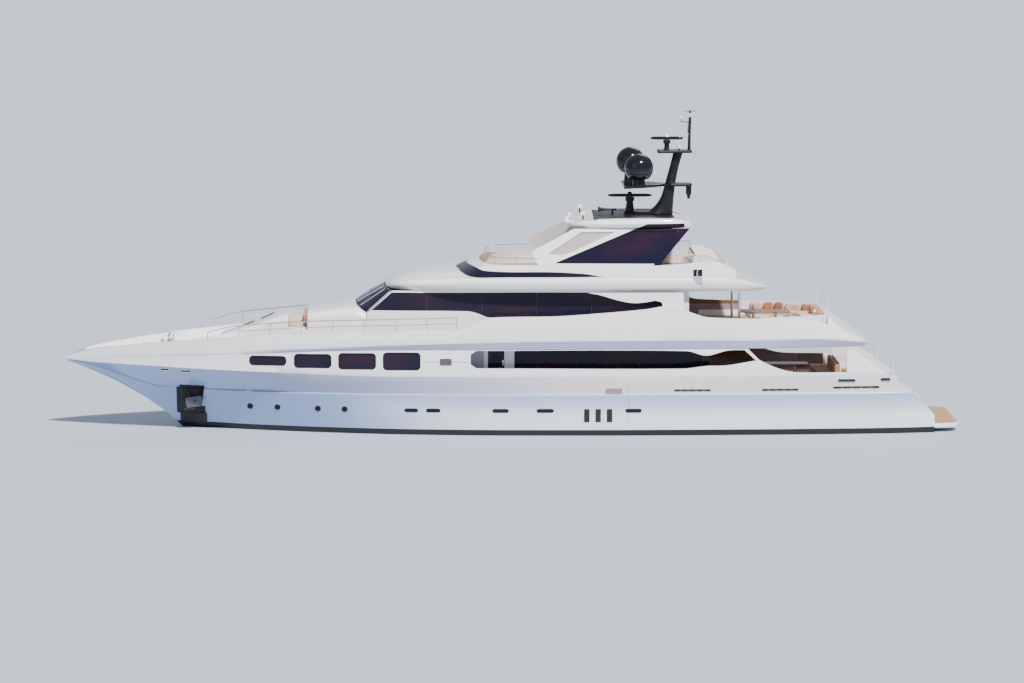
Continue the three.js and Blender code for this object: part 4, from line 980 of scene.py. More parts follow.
def deckTail():
    rings = []
    for x in np.linspace(tail["head"][0], tail["foot"][0], 14):
        footZ, topZ, topY = (float(bandAt(x)[i]) for i in (0, 4, 5))
        rings.append(acrossShip(x, [(topY - 0.05, footZ), (topY - 0.05, topZ - 0.02), (topY * 0.75, tailTop(x))]))
    deck, low = levels["upperDeck"] + gap, tailTop(-19) - tail["thick"] + gap
    (x0, z0), (x1, z1) = tail["head"], tail["foot"]
    foot = x0 - (z0 - tail["thick"] - levels["upperDeck"]) * (x0 - x1) / (z0 - z1)
    return cut(loft(rings), drawn("y", [(-15, deck), (foot, deck), (-19, low), (-19, 3), (-15, 3)], -6, 6))


# Inner faces of the bulwarks under the sun deck: painted shade, dark wood colour along the top and reddish lining
# colour below
def bandShadeSurface(normal, centre):
    outward = normal.y * math.copysign(1, centre.y)
    if outward > -0.5 or not -12.1 < centre.x < -8.9 or centre.z < levels["upperDeck"]:
        return 0
    return 1 if centre.z > 5.82 else 2


def makeBulwarks():
    finishes = "band wood lining"
    ring = cut(bandSolid(), bandSolid(walls["shell"], 3, 8))
    after = common(copied(ring), box(-20, bulwarkJoint - gap, -6, 6, 3, 8))
    after = split(united(after, deckTail()), [(-12.1, 3), (-12.1, 8), (-14, 5.82), (-9, 5.82)])
    dress(after, "after_bulwark_wall", finishes, stands="after_bulwark", choose=bandShadeSurface)
    side = common(ring, box(bulwarkJoint, bowBlock - gap, gap, 6, 3, 8))
    side = united(side, drawn("y", smoothLoop(wing, 5), 4.08, 4.24))
    dressPair(side, "bulwark", finishes, stands="upper_bulwark", choose=bandShadeSurface)


def makeDecks():
    plate = box(-18.6, bowBlock - gap, -6, 6, levels["mainDeck"] - levels["plate"], levels["mainDeck"])
    plate = common(plate, hullSolid(walls["shell"] + gap))
    sides = lambda normal, centre: 0 if normal.z > 0.7 else 1
    dress(plate, "main_deck_planks", "teak white", stands="main_deck", choose=sides)
    places = [-19, 4, *np.linspace(4.5, bowBlock - gap, 20)]
    slab = loft([acrossShip(x, [(5, deckAt(x) - 0.35), (5, deckAt(x))]) for x in places])
    slab = common(slab, bandSolid(walls["shell"] + gap, 3, 8))
    top, low = tailTop(-16) - tail["thick"], tailTop(-19) - tail["thick"]
    slab = cut(slab, drawn("y", [(-16, 7), (-16, top), (-19, low), (-19, 7)], -6, 6))
    teakFore = lambda normal, centre: 0 if normal.z > 0.7 and centre.x > -16.2 else 1  # white beside the tail
    dress(slab, "upper_deck_planks", "teak white", stands="upper_deck", choose=teakFore)


# What the foredeck and upper deck fill, to trim what stands on them
def underDeck():
    return loft([acrossShip(x, [(5, 0), (5, deckAt(x) + gap)]) for x in np.linspace(3.9, 21.3, 40)])


trunk = {"seat": (10.5, 11.5, 5.25), "rings": 60}


def trunkSolid(extra=0.0):
    rings = []
    for x in np.linspace(7.46, 15, trunk["rings"]):
        y, top = trunkAt(x)
        top += extra
        deck = deckAt(x)
        high = top - deck
        side = [(y - 0.06, deck + high * 0.7), (y * 0.93, deck + high * 0.86), (y * 0.83, deck + high * 0.94)]
        shoulder = smoothLine([*side, (y * 0.3, top)], 4)
        rings.append(acrossShip(x, [(y, deck - 0.2), *shoulder, (0.0, top + 0.001)]))
    return loft(rings)


def makeTrunk():
    x0, x1, z = trunk["seat"]
    body = cut(trunkSolid(), underDeck())
    body = cut(body, box(x0, x1, -4, 4, z, 8))
    dress(body, "trunk", "white", stands="foredeck_trunk")


makeHull()
makeShells()
makeCabinWindows()
makeBulwarks()
makeDecks()
makeTrunk()
print("hull and decks made")


# House on the main deck, with its long window, a door to each side deck and sliding doors aft
saloon = {
    "y": 3.2, "x0": -9.9, "x1": 2.35, "window": (-9.6, -0.1, 3.0, 4.3), "door": (0.45, 1.3, 2.47, 4.5),
    "ceiling": 4.85, "mullions": 5, "endCurve": 1.5, "endY": 3.86, "endTop": 4.4, "rail": 3.35,
}


def frameAround(outline, wide, y0, y1):
    return cut(drawn("y", spread(outline, wide), y0, y1), drawn("y", outline, y0 - 0.1, y1 + 0.1))


# A wall across the after end of a house, open where its doors are
def aftWall(x, half, opening, deck, ceiling):
    wall = box(x - walls["house"], x, -half, half, deck + gap, ceiling - gap)
    return cut(wall, box(x - 1, x + 1, -opening, opening, deck + 0.02, ceiling - 0.25))


def makeSaloonSides():
    y, house, start = saloon["y"], walls["house"], saloon["endCurve"]
    inner, middle, end = y - house, y - house / 2, saloon["x1"] + house
    floor, pane = levels["mainDeck"] + gap, walls["pane"] / 2
    turn = np.linspace(0, math.pi / 2, 9)
    endY, height = saloon["endY"], saloon["rail"]
    sweep = [(start + (end - start) * math.sin(a), endY - (endY - y) * math.cos(a)) for a in turn]
    wall = box(saloon["x0"], saloon["x1"], inner, y, floor, saloon["ceiling"] - gap)
    wall = united(wall, drawn("z", [(start, inner), *sweep, (end, inner)], floor, saloon["endTop"]))
    window = roundedWindow(*saloon["window"], 0.2)
    wall = cut(wall, drawn("y", window, 2, 5))
    wall = cut(wall, drawn("y", roundedWindow(*saloon["door"], 0.08, 3), 2, 5))
    x0, x1, z0, z1 = saloon["window"]
    wall = split(wall, [(x0, 0), (x0, 9)])

    # Painted shade: gloss black on the wall aft of the window, lavender grey on the rounded fore end of the side deck
    def surface(normal, centre):
        if centre.x < x0 and 2.9 < centre.z:
            return 2
        return 1 if centre.x > start - 0.05 and abs(centre.y) > y + 0.002 else 0

    dressPair(wall, "saloon_side", "white side gloss", stands="saloon_wall", choose=surface)
    glass = drawn("y", roundedWindow(*inset(saloon["window"], 0.004), 0.2), middle - pane, middle + pane)
    dressPair(glass, "saloon_pane", "glass", stands="saloon_glass")
    bars = [frameAround(window, 0.05, y - 0.01, y + 0.012)]
    for i in range(1, saloon["mullions"] + 1):
        x = x0 + (x1 - x0) * i / (saloon["mullions"] + 1)
        depth = middle + 0.02, middle + 0.038
        bars.append(roundBox(x - 0.016, x + 0.016, *depth, z0 + 0.01, z1 - 0.01, 0.006, 2))
    bars.append(tube([(x, y + 0.05, height) for x in np.linspace(x0 - 0.1, 0.2, 20)], 0.02, 8))
    for x in np.linspace(x0 + 0.1, 0.1, 7):
        bars.append(tube([(x, y - 0.002, height), (x, y + 0.05, height)], 0.014, 6))
    dressPair(bars, "saloon_window_trim", "rubber")


# A framed glass door leaf: along runs with the wall, out is its thickness
def doorLeaf(along, out, z0, z1, axis, border=0.1):
    def slab(shorter, foot, thicker, radius):
        a0, a1, o0, o1 = along[0] + shorter, along[1] - shorter, out[0] - thicker, out[1] + thicker
        flat = (a0, a1, o0, o1) if axis == "x" else (o0, o1, a0, a1)
        return roundBox(*flat, z0 + foot, z1 - shorter, radius, 2)

    thick, foot = out[1] - out[0], border * 2.2
    leaf = cut(slab(0, 0, 0, 0.012), slab(border, foot, thick * 0.5, 0.02))
    return leaf, slab(border - 0.01, foot - 0.01, 0.012 - thick / 2, 0.004)


doors = {"slack": 0.012, "handleHeight": 1.05, "handleRadius": 0.016}


def makeSideDoors():
    x0, x1, z0, z1 = inset(saloon["door"], doors["slack"])
    y = saloon["y"]
    leaf, pane = doorLeaf((x0, x1), (y - 0.06, y), z0, z1, "x")
    dressPair(leaf, "side_door_frame", "gloss", body="side_door", stands="side_door")
    dressPair(pane, "side_door_glass", "glass", body="side_door")
    x, z = saloon["door"][0] + 0.075, saloon["door"][2] + doors["handleHeight"]
    bends = ((0, 0), (0.04, 0), (0.04, 0.22), (0, 0.22))
    grip = tube([(x, y + out, z + up) for out, up in bends], doors["handleRadius"], 8)
    plate = roundBox(x - 0.03, x + 0.03, y - 0.002, y + 0.01, z - 0.04, z + 0.26, 0.005, 2)
    dressPair([grip, plate], "side_door_handle", "steel", body="side_door")


def makeAftDoors():
    wall = aftWall(saloon["x0"], 3.2, 1.1, levels["mainDeck"], saloon["ceiling"])
    # The wall's ends beside the side decks are gloss black: painted shade
    ends = lambda normal, centre: 1 if abs(normal.y) > 0.9 and abs(centre.y) > 3 else 0
    dress(wall, "saloon_aft_wall", "white gloss", stands="saloon_aft_frame", choose=ends)
    leaf, pane = doorLeaf((0.008, 1.15), (-9.883, -9.837), levels["mainDeck"] + 0.035, 4.58, "y", 0.07)
    dressPair(leaf, "saloon_door_frame", "gloss", body="saloon_door", stands="saloon_door")
    dressPair(pane, "saloon_door_glass", "glass", body="saloon_door")


makeSaloonSides()
makeSideDoors()
makeAftDoors()
print("main deck house made")


# House on the upper deck, with the long tapering window and the raked windscreen
upperHouse = {
    "x0": -8.85, "roofUnder": 7.34, "corner": ((7.36, 6.25), (6.2, 7.34)),
    "mullions": ((4.4, 6.33), (1.6, 6.33), (-1.2, 6.0), (-4.0, 6.0)),
}
upperWindow = [
    (7.25, 6.31, 1), (2.4, 6.31), (1.9, 6.22), (1.2, 5.98), (-2.5, 5.98), (-5, 6.1), (-7.6, 6.4), (-8.1, 6.8, 1),
    (-7.7, 7.0), (-6.3, 7.1), (-4, 7.25), (6.2, 7.25, 1),
]
housePlan = [(-8.85, 3.3), (1.5, 3.3), (4.6, 3.15), (7.455, 2.7)]


def alongPlan(outward, thick, z0, z1):
    outer = [(x, y + outward) for x, y in smoothLine(housePlan, 8)]
    inner = [(x, y - thick) for x, y in outer][::-1]
    return drawn("z", outer + inner, z0, z1)


def aheadOfCorner(slack):
    (footX, footZ), (headX, headZ) = upperHouse["corner"]
    line = [(8, 6.18), (footX - slack, footZ), (headX - slack, headZ), (headX - slack, 9)]
    return drawn("y", [(8, 5), *line, (12, 9), (12, 5)], 2, 5)


def makeUpperHouse():
    window, deck, ceiling = smoothLoop(upperWindow, 5), levels["upperDeck"], upperHouse["roofUnder"]
    wall = alongPlan(0, walls["house"], deck - 0.2, ceiling - gap)
    wall = cut(wall, drawn("y", window, 2, 5))
    wall = cut(wall, underDeck(), box(-9, 4.5, 2, 5, 4, deck + gap))
    wall = cut(wall, aheadOfCorner(0.02))
    dressPair(wall, "upper_side", "white", stands="upper_wall")
    pane = alongPlan(-0.03, walls["pane"], 5.5, ceiling - 0.02)
    pane = common(pane, drawn("y", spread(window, -0.003), 2, 5))
    pane = cut(pane, aheadOfCorner(0.03))
    dressPair(pane, "upper_pane", "glass", stands="upper_glass")
    bars = []
    read = smoothReader(housePlan)
    for x, low in upperHouse["mullions"]:
        y = float(read(x)[0])
        bars.append(roundBox(x - 0.014, x + 0.014, y - 0.036, y - 0.022, low, 7.22, 0.005, 2))
    dressPair(bars, "upper_window_mullions", "rubber")
    wall = aftWall(upperHouse["x0"], 3.28, 0.75, deck, ceiling)
    dress(wall, "upper_aft_wall", "white", stands="upper_aft_frame")
    leaf, pane = doorLeaf((-0.8, 0.8), (-8.835, -8.785), deck + 0.03, 7.2, "y", 0.08)
    dress(leaf, "sky_door_frame", "gloss", body="sky_door", stands="sky_door")
    dress(pane, "sky_door_glass", "glass", body="sky_door")


# x, y, z of the windscreen's foot and of its head, from the port corner to the middle
windscreen = {
    "base": [(7.37, 2.57, 6.26), (7.75, 2.0, 6.4), (7.98, 1.0, 6.5), (8.04, 0, 6.53)],
    "top": [(6.2, 2.74, 7.339), (6.4, 2.05, 7.36), (6.5, 1.0, 7.4), (6.52, 0, 7.42)],
    "posts": (-1.75, -0.6, 0.6, 1.75), "wipers": (-1.2, 0.0, 1.2), "facing": (0.62, 0, 0.78),
}


def roundTheBow(points, steps=5):
    port = [np.array(p, float) for p in points]
    full = port + [p * (1, -1, 1) for p in port[:-1][::-1]]
    lengths = [0.0]
    for a, b in zip(full, full[1:]):
        lengths.append(lengths[-1] + float(np.linalg.norm(b - a)))
    read = smoothReader([(s, *p) for s, p in zip(lengths, full)])
    return [read(s) for s in np.linspace(0, lengths[-1], (len(full) - 1) * steps + 1)]


def screenPoint(y, rise, out=0.0):
    low, high = (roundTheBow(windscreen[name], 12) for name in ("base", "top"))
    pick = lambda line: line[int(np.argmin([abs(p[1] - y) for p in line]))]
    point = pick(low) * (1 - rise) + pick(high) * rise
    return tuple(point + np.array(windscreen["facing"]) * out)


def makeWindscreen():
    low, high = (roundTheBow(windscreen[name]) for name in ("base", "top"))
    rings = []
    for line, thick in ((low, 0.14), (high, 0.1)):
        inner = [p - np.array((thick, 0, 0)) for p in line][::-1]
        rings.append([tuple(p) for p in line + inner])
    under = united(cut(trunkSolid(gap), underDeck()), box(7, 9, -3, 3, 5, 6.1))
    body = cut(loft(rings), under)
    body = cut(body, box(0, 9, -4, 4, upperHouse["roofUnder"] - gap, 9))
    dress(body, "windscreen_glass", "glass", stands="windscreen")
    rises = np.linspace(0.03, 0.93, 6)
    posts = [tube([screenPoint(y, rise, 0.012) for rise in rises], 0.022, 6) for y in windscreen["posts"]]
    for side in (1, -1):
        line = [(7.39 - 1.15 * t, side * (2.6 + 0.17 * t), 6.27 + 1.06 * t) for t in np.linspace(0.02, 0.97, 6)]
        posts.append(tube(line, 0.035, 6))
    # The posts take the shaded white: painted shade
    dress(posts, "windscreen_posts", "under")
    arms = []
    for y in windscreen["wipers"]:
        arm = ((0, 0.02, 0.03), (0.12, 0.35, 0.07), (0.3, 0.7, 0.05))
        blade = ((0.22, 0.45, 0.035), (0.36, 0.9, 0.035))
        for line, radius in ((arm, 0.012), (blade, 0.016)):
            arms.append(tube([screenPoint(y + shift, rise, out) for shift, rise, out in line], radius, 6))
        pivot = [(-0.02, 0.03), (0.05, 0.03), (0.06, 0.02)]
        arms.append(turned(pivot, screenPoint(y, 0.02), windscreen["facing"], 10))
    dress(arms, "wipers", "black")


makeUpperHouse()
makeWindscreen()
print("upper deck house made")


# Sun deck: roof slab with a rolled edge, teak on top
sunDeck = {"rings": 120, "pillars": (-11.6, 2.55, 0.07)}


def roofHalf(x):
    underY, creaseY, creaseZ, edgeZ, middleZ = roofAt(x)
    under = upperHouse["roofUnder"] + (min(x, -10) + 10) * 0.05
    flare = (underY + (creaseY - underY) * 0.6, under + (creaseZ - under) * 0.42)
    shoulder = (creaseY - 0.02, creaseZ + (edgeZ - creaseZ) * 0.6)
    side = smoothLine([(underY, under), flare, (creaseY, creaseZ)], 3)
    roll = smoothLine([(creaseY, creaseZ), shoulder, (creaseY - 0.1, edgeZ)], 3)[1:]
    crown = [(creaseY * 0.65, edgeZ + (middleZ - edgeZ) * 0.7), (creaseY * 0.3, middleZ)]
    return [(underY * 0.5, under)] + side + roll + crown


# An upright round bar
def post(x, y, z0, z1, radius, sides=8):
    return tube([(x, y, z0), (x, y, z1)], radius, sides)


def makeRoof():
    slab = loft([acrossShip(x, roofHalf(x)) for x in easedAlong(roofRows, sunDeck["rings"])])

    def surface(normal, centre):
        onDeck = centre.x < 1.55 and centre.z > 7.9 and abs(centre.y) < 3.9
        return 1 if onDeck and normal.z > 0.9 else 0

    dress(slab, "sun_deck_slab", "white teak", stands="sun_deck", choose=surface)
    x, y, radius = sunDeck["pillars"]
    foot = levels["upperDeck"] + gap
    collar = turned([(0, 0.12), (0.03, 0.12), (0.05, 0.08)], (x, y, foot), sides=16)
    dress(bothSides(gathered(post(x, y, foot, 7.3, radius, 16), collar)), "sun_deck_pillars", "steel")


# Coaming round the sun deck: x, y at its foot and at its head, from aft to the nose
coamingPlan = [
    (-11.4, 3.02, -11.4, 2.9), (-10.6, 3.45, -10.6, 3.35), (-9, 3.8, -9, 3.7), (-5, 3.94, -5, 3.78),
    (-1.5, 3.9, -1.6, 3.74), (0.9, 3.76, 0.2, 3.55), (2.15, 3.45, 0.85, 3.3), (2.8, 2.9, 1.2, 2.75),
    (3.6, 1.5, 1.42, 1.4), (3.9, 0, 1.5, 0),
]
coamingTop = [
    (-11.4, 8.3), (-10.9, 8.62), (-10.4, 8.8), (-9.5, 8.82), (-8.6, 8.74), (-6.7, 8.66), (-2.2, 8.7), (1.9, 8.7),
]
coamingTopAt = straightReader(coamingTop)
coaming = {"foot": 7.9, "head": 8.85, "thick": 0.18, "steps": 6}


def coamingRing(lean, out=0.0):
    line = roundTheBow([(*row[2 * lean:2 * lean + 2], 0) for row in coamingPlan], coaming["steps"])
    ring = []
    for i, p in enumerate(line):
        before, after = line[max(i - 1, 0)], line[min(i + 1, len(line) - 1)]
        along = Vector(after - before).normalized()
        ring.append(tuple(np.array(p) + np.array(along.cross(Vector((0, 0, 1)))) * -out))
    return ring


def coamingPoint(share, height, out=0.0):
    low, high = coamingRing(0, out), coamingRing(1, out)
    i = min(int(share * (len(low) - 1)), len(low) - 1)
    t = (height - coaming["foot"]) / (coaming["head"] - coaming["foot"])
    return tuple(low[i][k] + (high[i][k] - low[i][k]) * t for k in range(2)) + (height,)


def coamingShell(outer, inner):
    rings = []
    for lean, z in ((0, coaming["foot"]), (1, coaming["head"])):
        both = coamingRing(lean, outer) + coamingRing(lean, inner)[::-1]
        rings.append([(x, y, z) for x, y, _ in both])
    return loft(rings)


def roofSkin():
    rings = []
    for x in easedAlong(roofRows, 100):
        low = [p for p in roofHalf(x) if p[1] >= roofAt(x)[2] - 1e-6]
        rings.append(acrossShip(x, [(low[0][0], 7.3), *[(y, z + gap) for y, z in low]]))
    return loft(rings)


# The slit window in the coaming: its lower and upper edge between the point aft and the nose
slit = {
    "low": [(-4.5, 8.12), (-3, 8.1), (0, 8.09), (2.5, 8.03), (4.2, 8.0)],
    "high": [(-4.5, 8.14), (-3.5, 8.28), (-1.4, 8.37), (0, 8.36), (1.5, 8.4), (2.0, 8.52), (4.2, 8.53)],
    "depth": 0.06,
}


def makeCoaming():
    top = smoothLine(coamingTop, 5)
    outline = [(-12, 7), (-12, coamingTop[0][1]), *top, (4, 8.7), (4, 7)]
    wall = common(coamingShell(0.0, -coaming["thick"]), drawn("y", outline, -5, 5))
    wall = cut(wall, roofSkin())
    dark = smoothLine(slit["low"], 5) + smoothLine(slit["high"], 5)[::-1]
    groove = common(coamingShell(0.5, -slit["depth"]), drawn("y", dark, -5, 5))
    inlay = common(coamingShell(-0.015, -slit["depth"] + 0.004), drawn("y", dark, -5, 5))
    wall = cut(wall, groove)
    dress(wall, "coaming", "white", stands="sun_coaming")
    dress(cut(inlay, roofSkin()), "coaming_glass", "glass")


makeRoof()
makeCoaming()
print("sun deck made")


# Arches between the coaming and the hardtop, leaning inwards; outlines are x, z
arch = {"y": (3.65, 3.79), "foot": 8.66, "lean": 0.36, "recess": 0.06}
archOuter = [(-0.95, 9.4), (-3.1, 10.5), (-9, 10.5), (-7.95, 9.3)]
archDark = [(-2.05, 8.79), (-5.9, 10.36), (-8.45, 10.36), (-7.7, 9.4), (-7.2, 8.76), (-6.7, 8.76)]
# The arch's recessed web, painted a dim pinkish grey: painted shade
archPanel = [(-1.75, 9.25), (-3.45, 10.34), (-5.2, 10.34), (-2.6, 9.2)]
archTint = [
    (-7.15, 8.6), (-12, 8.6), (-12, 10.8), (-6.95, 10.8), (-5.85, 10.34), (-8.4, 10.34), (-7.65, 9.4),
    (-7.15, 8.76),
]


# A flat outline with its corners rounded
def rounded(outline, radius, steps=3):
    soft = []
    for i, point in enumerate(outline):
        here = np.array(point, float)
        before, after = (np.array(outline[k % len(outline)], float) - here for k in (i - 1, i + 1))
        near, far = np.linalg.norm(before), np.linalg.norm(after)
        r = min(radius, near * 0.45, far * 0.45)
        start, end = here + before / near * r, here + after / far * r
        for t in (k / steps for k in range(steps + 1)):
            soft.append(tuple((1 - t) ** 2 * start + 2 * t * (1 - t) * here + t * t * end))
    return soft


def leaningPlate(outline, inner, outer):
    at = lambda y: [(x, y - (z - arch["foot"]) * arch["lean"], z) for x, z in outline]
    return loft([at(inner), at(outer)])


def makeArches():
    inner, outer = arch["y"]
    recess = outer - arch["recess"]
    foot = [(x, coamingTopAt(x) + gap) for x in (-7.45, -6.7, -2.2, -1.25)]
    side = leaningPlate(archOuter + foot, inner, outer)
    side = cut(side, leaningPlate(rounded(archDark, 0.12), 2, 5))
    side = cut(side, leaningPlate(rounded(archPanel, 0.14), recess, outer + 1))

    def surface(normal, centre):
        depth = abs(centre.y) + (centre.z - arch["foot"]) * arch["lean"]
        # the recessed web takes the panel finish: painted shade
        if abs(depth - recess) < 0.01 and insideOutline((centre.x, centre.z), archPanel):
            return 1
        if insideOutline((centre.x, centre.z), archTint):
            return 3 if normal.z > 0.5 else 2
        return 0

    side = split(side, archTint)
    dressPair(side, "arch_side", "white panel glass rubber", stands="arch", choose=surface)
    pane = leaningPlate(rounded(spread(archDark, -0.01), 0.12), inner + 0.04, outer - 0.04)
    dressPair(pane, "arch_pane", "glass", stands="arch_glass")


def insideOutline(point, outline):
    x, z = point
    inside = False
    for (x0, z0), (x1, z1) in zip(outline, outline[1:] + outline[:1]):
        if (z0 > z) != (z1 > z) and x < (x1 - x0) * (z - z0) / (z1 - z0) + x0:
            inside = not inside
    return inside


# Hardtop: x, half-breadth, underside, top
hardtopRows = [
    (-9.3, 1.8, 10.52, 10.6), (-8.9, 2.8, 10.51, 10.82), (-8.2, 3.2, 10.51, 10.98), (-6.5, 3.32, 10.51, 11.0),
    (-4.4, 3.25, 10.51, 10.95), (-3.4, 2.8, 10.51, 10.82), (-2.9, 2.0, 10.51, 10.7), (-2.7, 1.2, 10.51, 10.62),
]
hardtop = {
    "rings": 60, "well": (-8.3, -4.2, 2.6, 0.05), "lamps": (-2.1, -1.05, 0.0, 1.05, 2.1),
    "tint": [(-8.75, 10.4), (-8.75, 10.76), (-6.85, 10.76), (-6.0, 10.4)],
}
hardtopAt = smoothReader(hardtopRows)


def makeHardtop():
    rings = []
    for x in easedAlong(hardtopRows, hardtop["rings"]):
        y, under, top = hardtopAt(x)
        middle = (under + top) / 2
        low = smoothLine([(y - 0.2, under), (y - 0.06, under + (middle - under) * 0.35), (y, middle)], 3)
        high = smoothLine([(y, middle), (y - 0.07, middle + (top - middle) * 0.75), (y - 0.25, top)], 3)[1:]
        rings.append(acrossShip(x, [((y - 0.2) * 0.5, under), *low, *high]))
    x0, x1, half, depth = hardtop["well"]
    floor = 11.0 - depth
    well = drawn("z", roundedWindow(x0, x1, -half, half, 0.5, 6), floor, 12)

    # The well's floor is black: painted shade
    def surface(normal, centre):
        inWell = x0 < centre.x < x1 and abs(centre.y) < half
        if inWell and normal.z > 0.9 and centre.z < floor + 0.01:
            return 1
        return 2 if abs(centre.y) > 1.9 and insideOutline((centre.x, centre.z), hardtop["tint"]) else 0

    roof = split(cut(loft(rings), well), hardtop["tint"])
    dress(roof, "hardtop_roof", "white black glass", stands="hardtop", choose=surface)
    lenses, rims = [], []
    for y in hardtop["lamps"]:
        x = -2.72 - y * y * 0.055
        at = (x - 0.16, y, float(hardtopAt(x)[2]) + 0.08)
        rims.append(turned([(-0.02, 0.05), (0.06, 0.055), (0.12, 0.07), (0.14, 0.07)], at, (1, 0, -0.2), 14))
        lenses.append(turned([(0.141, 0.06), (0.15, 0.05), (0.155, 0.0001)], at, (1, 0, -0.2), 14))
    dress(rims, "hardtop_lamps", "white")
    dress(lenses, "hardtop_lamp_lenses", "lens")


makeArches()
makeHardtop()
print("arches and hardtop made")


# Mast, its platforms, domes, radar bars, lamps and horns
mastRows = [
    (11.001, -8.32, -6.9, 0.5), (11.35, -8.34, -7.35, 0.43), (11.9, -8.38, -7.72, 0.36), (12.5, -8.45, -7.9, 0.31),
    (13.3, -8.6, -8.12, 0.27), (14.2, -8.85, -8.35, 0.24),
]
mast = {
    "deck": (12.42, 12.56), "highDeck": (14.15, 14.27), "domes": ((-6.2, -1.35, 13.6), (-6.5, 1.3, 13.45)),
    "domeRadius": 0.74, "low": (-6.1, 11.95, 2.3), "high": (-8.0, 14.9, 1.7),
    "topmast": [(-9.15, 0, 14.2), (-9.17, 0, 15.2), (-9.2, 0, 16.3)], "yard": (-9.15, 15.15, 1.1),
    "pedestals": (  # radar, foot, radii at heights above the foot and at depths below the bar
        ("low", 11.02, ((0, 0.3), (0.04, 0.3), (0.1, 0.24)), ((0.32, 0.17), (0.3, 0.24), (0.112, 0.24))),
        ("high", 14.25, ((0, 0.2), (0.04, 0.2), (0.08, 0.14)), ((0.3, 0.13), (0.28, 0.19), (0.112, 0.19))),
    ),
}


# A plate pulled in by a length at each of its heights, and one with soft edges and corners
def stepped(outline, steps, middle=None):
    return loft([[(*p, z) for p in spread(outline, -by, middle)] for z, by in steps])


def softPlate(outline, z0, z1, edge=0.03, corner=0.15):
    return stepped(rounded(outline, corner, 4), ((z0, edge), (z0 + edge, 0), (z1 - edge, 0), (z1, edge)))


def makeMast():
    read = smoothReader(mastRows)
    rings = []
    for z in np.linspace(mastRows[0][0], mastRows[-1][0], 26):
        aft, fore, half = read(z)
        middle, reach = (aft + fore) / 2, (fore - aft) / 2
        rings.append([(middle + reach * math.cos(a), half * bent(math.sin(a), 0.8), z) for a in allRound(20)])
    x, z, reach = mast["yard"]
    parts = [
        loft(rings),
        softPlate([(-9.3, -0.4), (-8.1, -0.5), (-8.1, 0.5), (-9.3, 0.4)], *mast["deck"]),
        softPlate([(-9.3, -0.5), (-7.5, -0.65), (-7.5, 0.65), (-9.3, 0.5)], *mast["highDeck"]),
        roundBox(-8.3, -5.8, -0.35, 0.35, 11.001, 11.12, 0.03, 2),
        roundBox(-9.28, -9.0, -0.14, 0.14, 11.95, 12.45, 0.05, 3),
        tube(mast["topmast"], [0.09, 0.07, 0.045], 12),
        tube([(x, reach * share, z) for share in (-1, -0.5, 0, 0.5, 1)], [0.03, 0.05, 0.06, 0.05, 0.03], 10),
        post(-9.14, 0.0, 12.0, 11.75, [0.1, 0.07], 12),
    ]
    for radar, foot, low, high in mast["pedestals"]:
        x, z, _ = mast[radar]
        profile = [*low, *[(z - down - foot, radius) for down, radius in high]]
        parts.append(turned(profile, (x, 0, foot), sides=20))
    for y in (-0.3, 0.3):
        parts.append(tube([(-8.2, y * 0.8, 12.5), (-7.2, y, 12.46), (-7.69, y, 12.44)], 0.03, 6))
    dress(parts, "mast_column", "black", stands="mast")


def makeDomes():
    radius, low = mast["domeRadius"], mast["deck"][0]
    outline = [(-7.97, -0.14), (-7.3, -1.0), (-5.7, -1.95), (-5.7, 1.95), (-7.3, 1.0), (-7.97, 0.14)]
    parts, seams = [softPlate(outline, *mast["deck"], 0.03, 0.2)], []
    for at in mast["domes"]:
        profile = [(-radius * 0.78, 0.4), (-radius * 0.7, 0.46)]
        profile += [(-radius * math.cos(a), radius * math.sin(a)) for a in np.linspace(0.72, math.pi - 0.001, 30)]
        parts.append(turned(profile, at, sides=48))
        parts.append(turned([(low + 0.02 - at[2], 0.36), (-radius * 0.74, 0.3)], at, sides=28))
        seam = ((-0.2, 0.965), (-0.19, 0.975), (-0.165, 0.983), (-0.155, 0.975))
        seams.append(turned([(d, radius * share) for d, share in seam], at, sides=48))
    dress(parts, "dome_pair", "gloss", stands="domes", angle=50)
    dress(seams, "dome_seams", "rubber")


def makeRadars():
    for name, key in (("radar_lower", "low"), ("radar_upper", "high")):
        x, z, length = mast[key]
        rings = []
        for t in np.linspace(-1, 1, 25):
            narrow = max(1 - abs(t) ** 8, 0.12) ** 0.5
            half, high, along = 0.088 * narrow, 0.085 * narrow, x + t * length / 2
            round16 = [(bent(math.cos(a), 0.7), bent(math.sin(a), 0.7)) for a in allRound(16)]
            rings.append([(along, half * across, z - 0.01 + high * up) for across, up in round16])
        dress(loft(rings), f"{name}_bar", "gloss", body=name, stands=name)
        cap = turned([(0.06, 0.12), (0.1, 0.12), (0.16, 0.09), (0.19, 0.0001)], (x, 0, z), sides=20)
        dress(cap, f"{name}_cap", "white" if key == "high" else "gloss", "black_gloss", body=name)


mastTackle = {
    "balls": ((-8.62, 0.3, 14.45), (-8.7, 0.0, 15.95), (-9.2, 0.0, 16.05)),
    "whips": ((-9.15, 1.05), (-9.15, -1.05), (-9.15, 0.6)),
    "ball": [(-0.09, 0.06), (-0.07, 0.1), (0.0, 0.12), (0.07, 0.1), (0.11, 0.04), (0.12, 0.0001)],
    "horn": [
        (-0.5, 0.03), (-0.2, 0.035), (0.1, 0.05), (0.3, 0.08), (0.42, 0.13), (0.43, 0.135), (0.42, 0.12),
        (0.3, 0.06), (0.29, 0.0001),
    ],
}


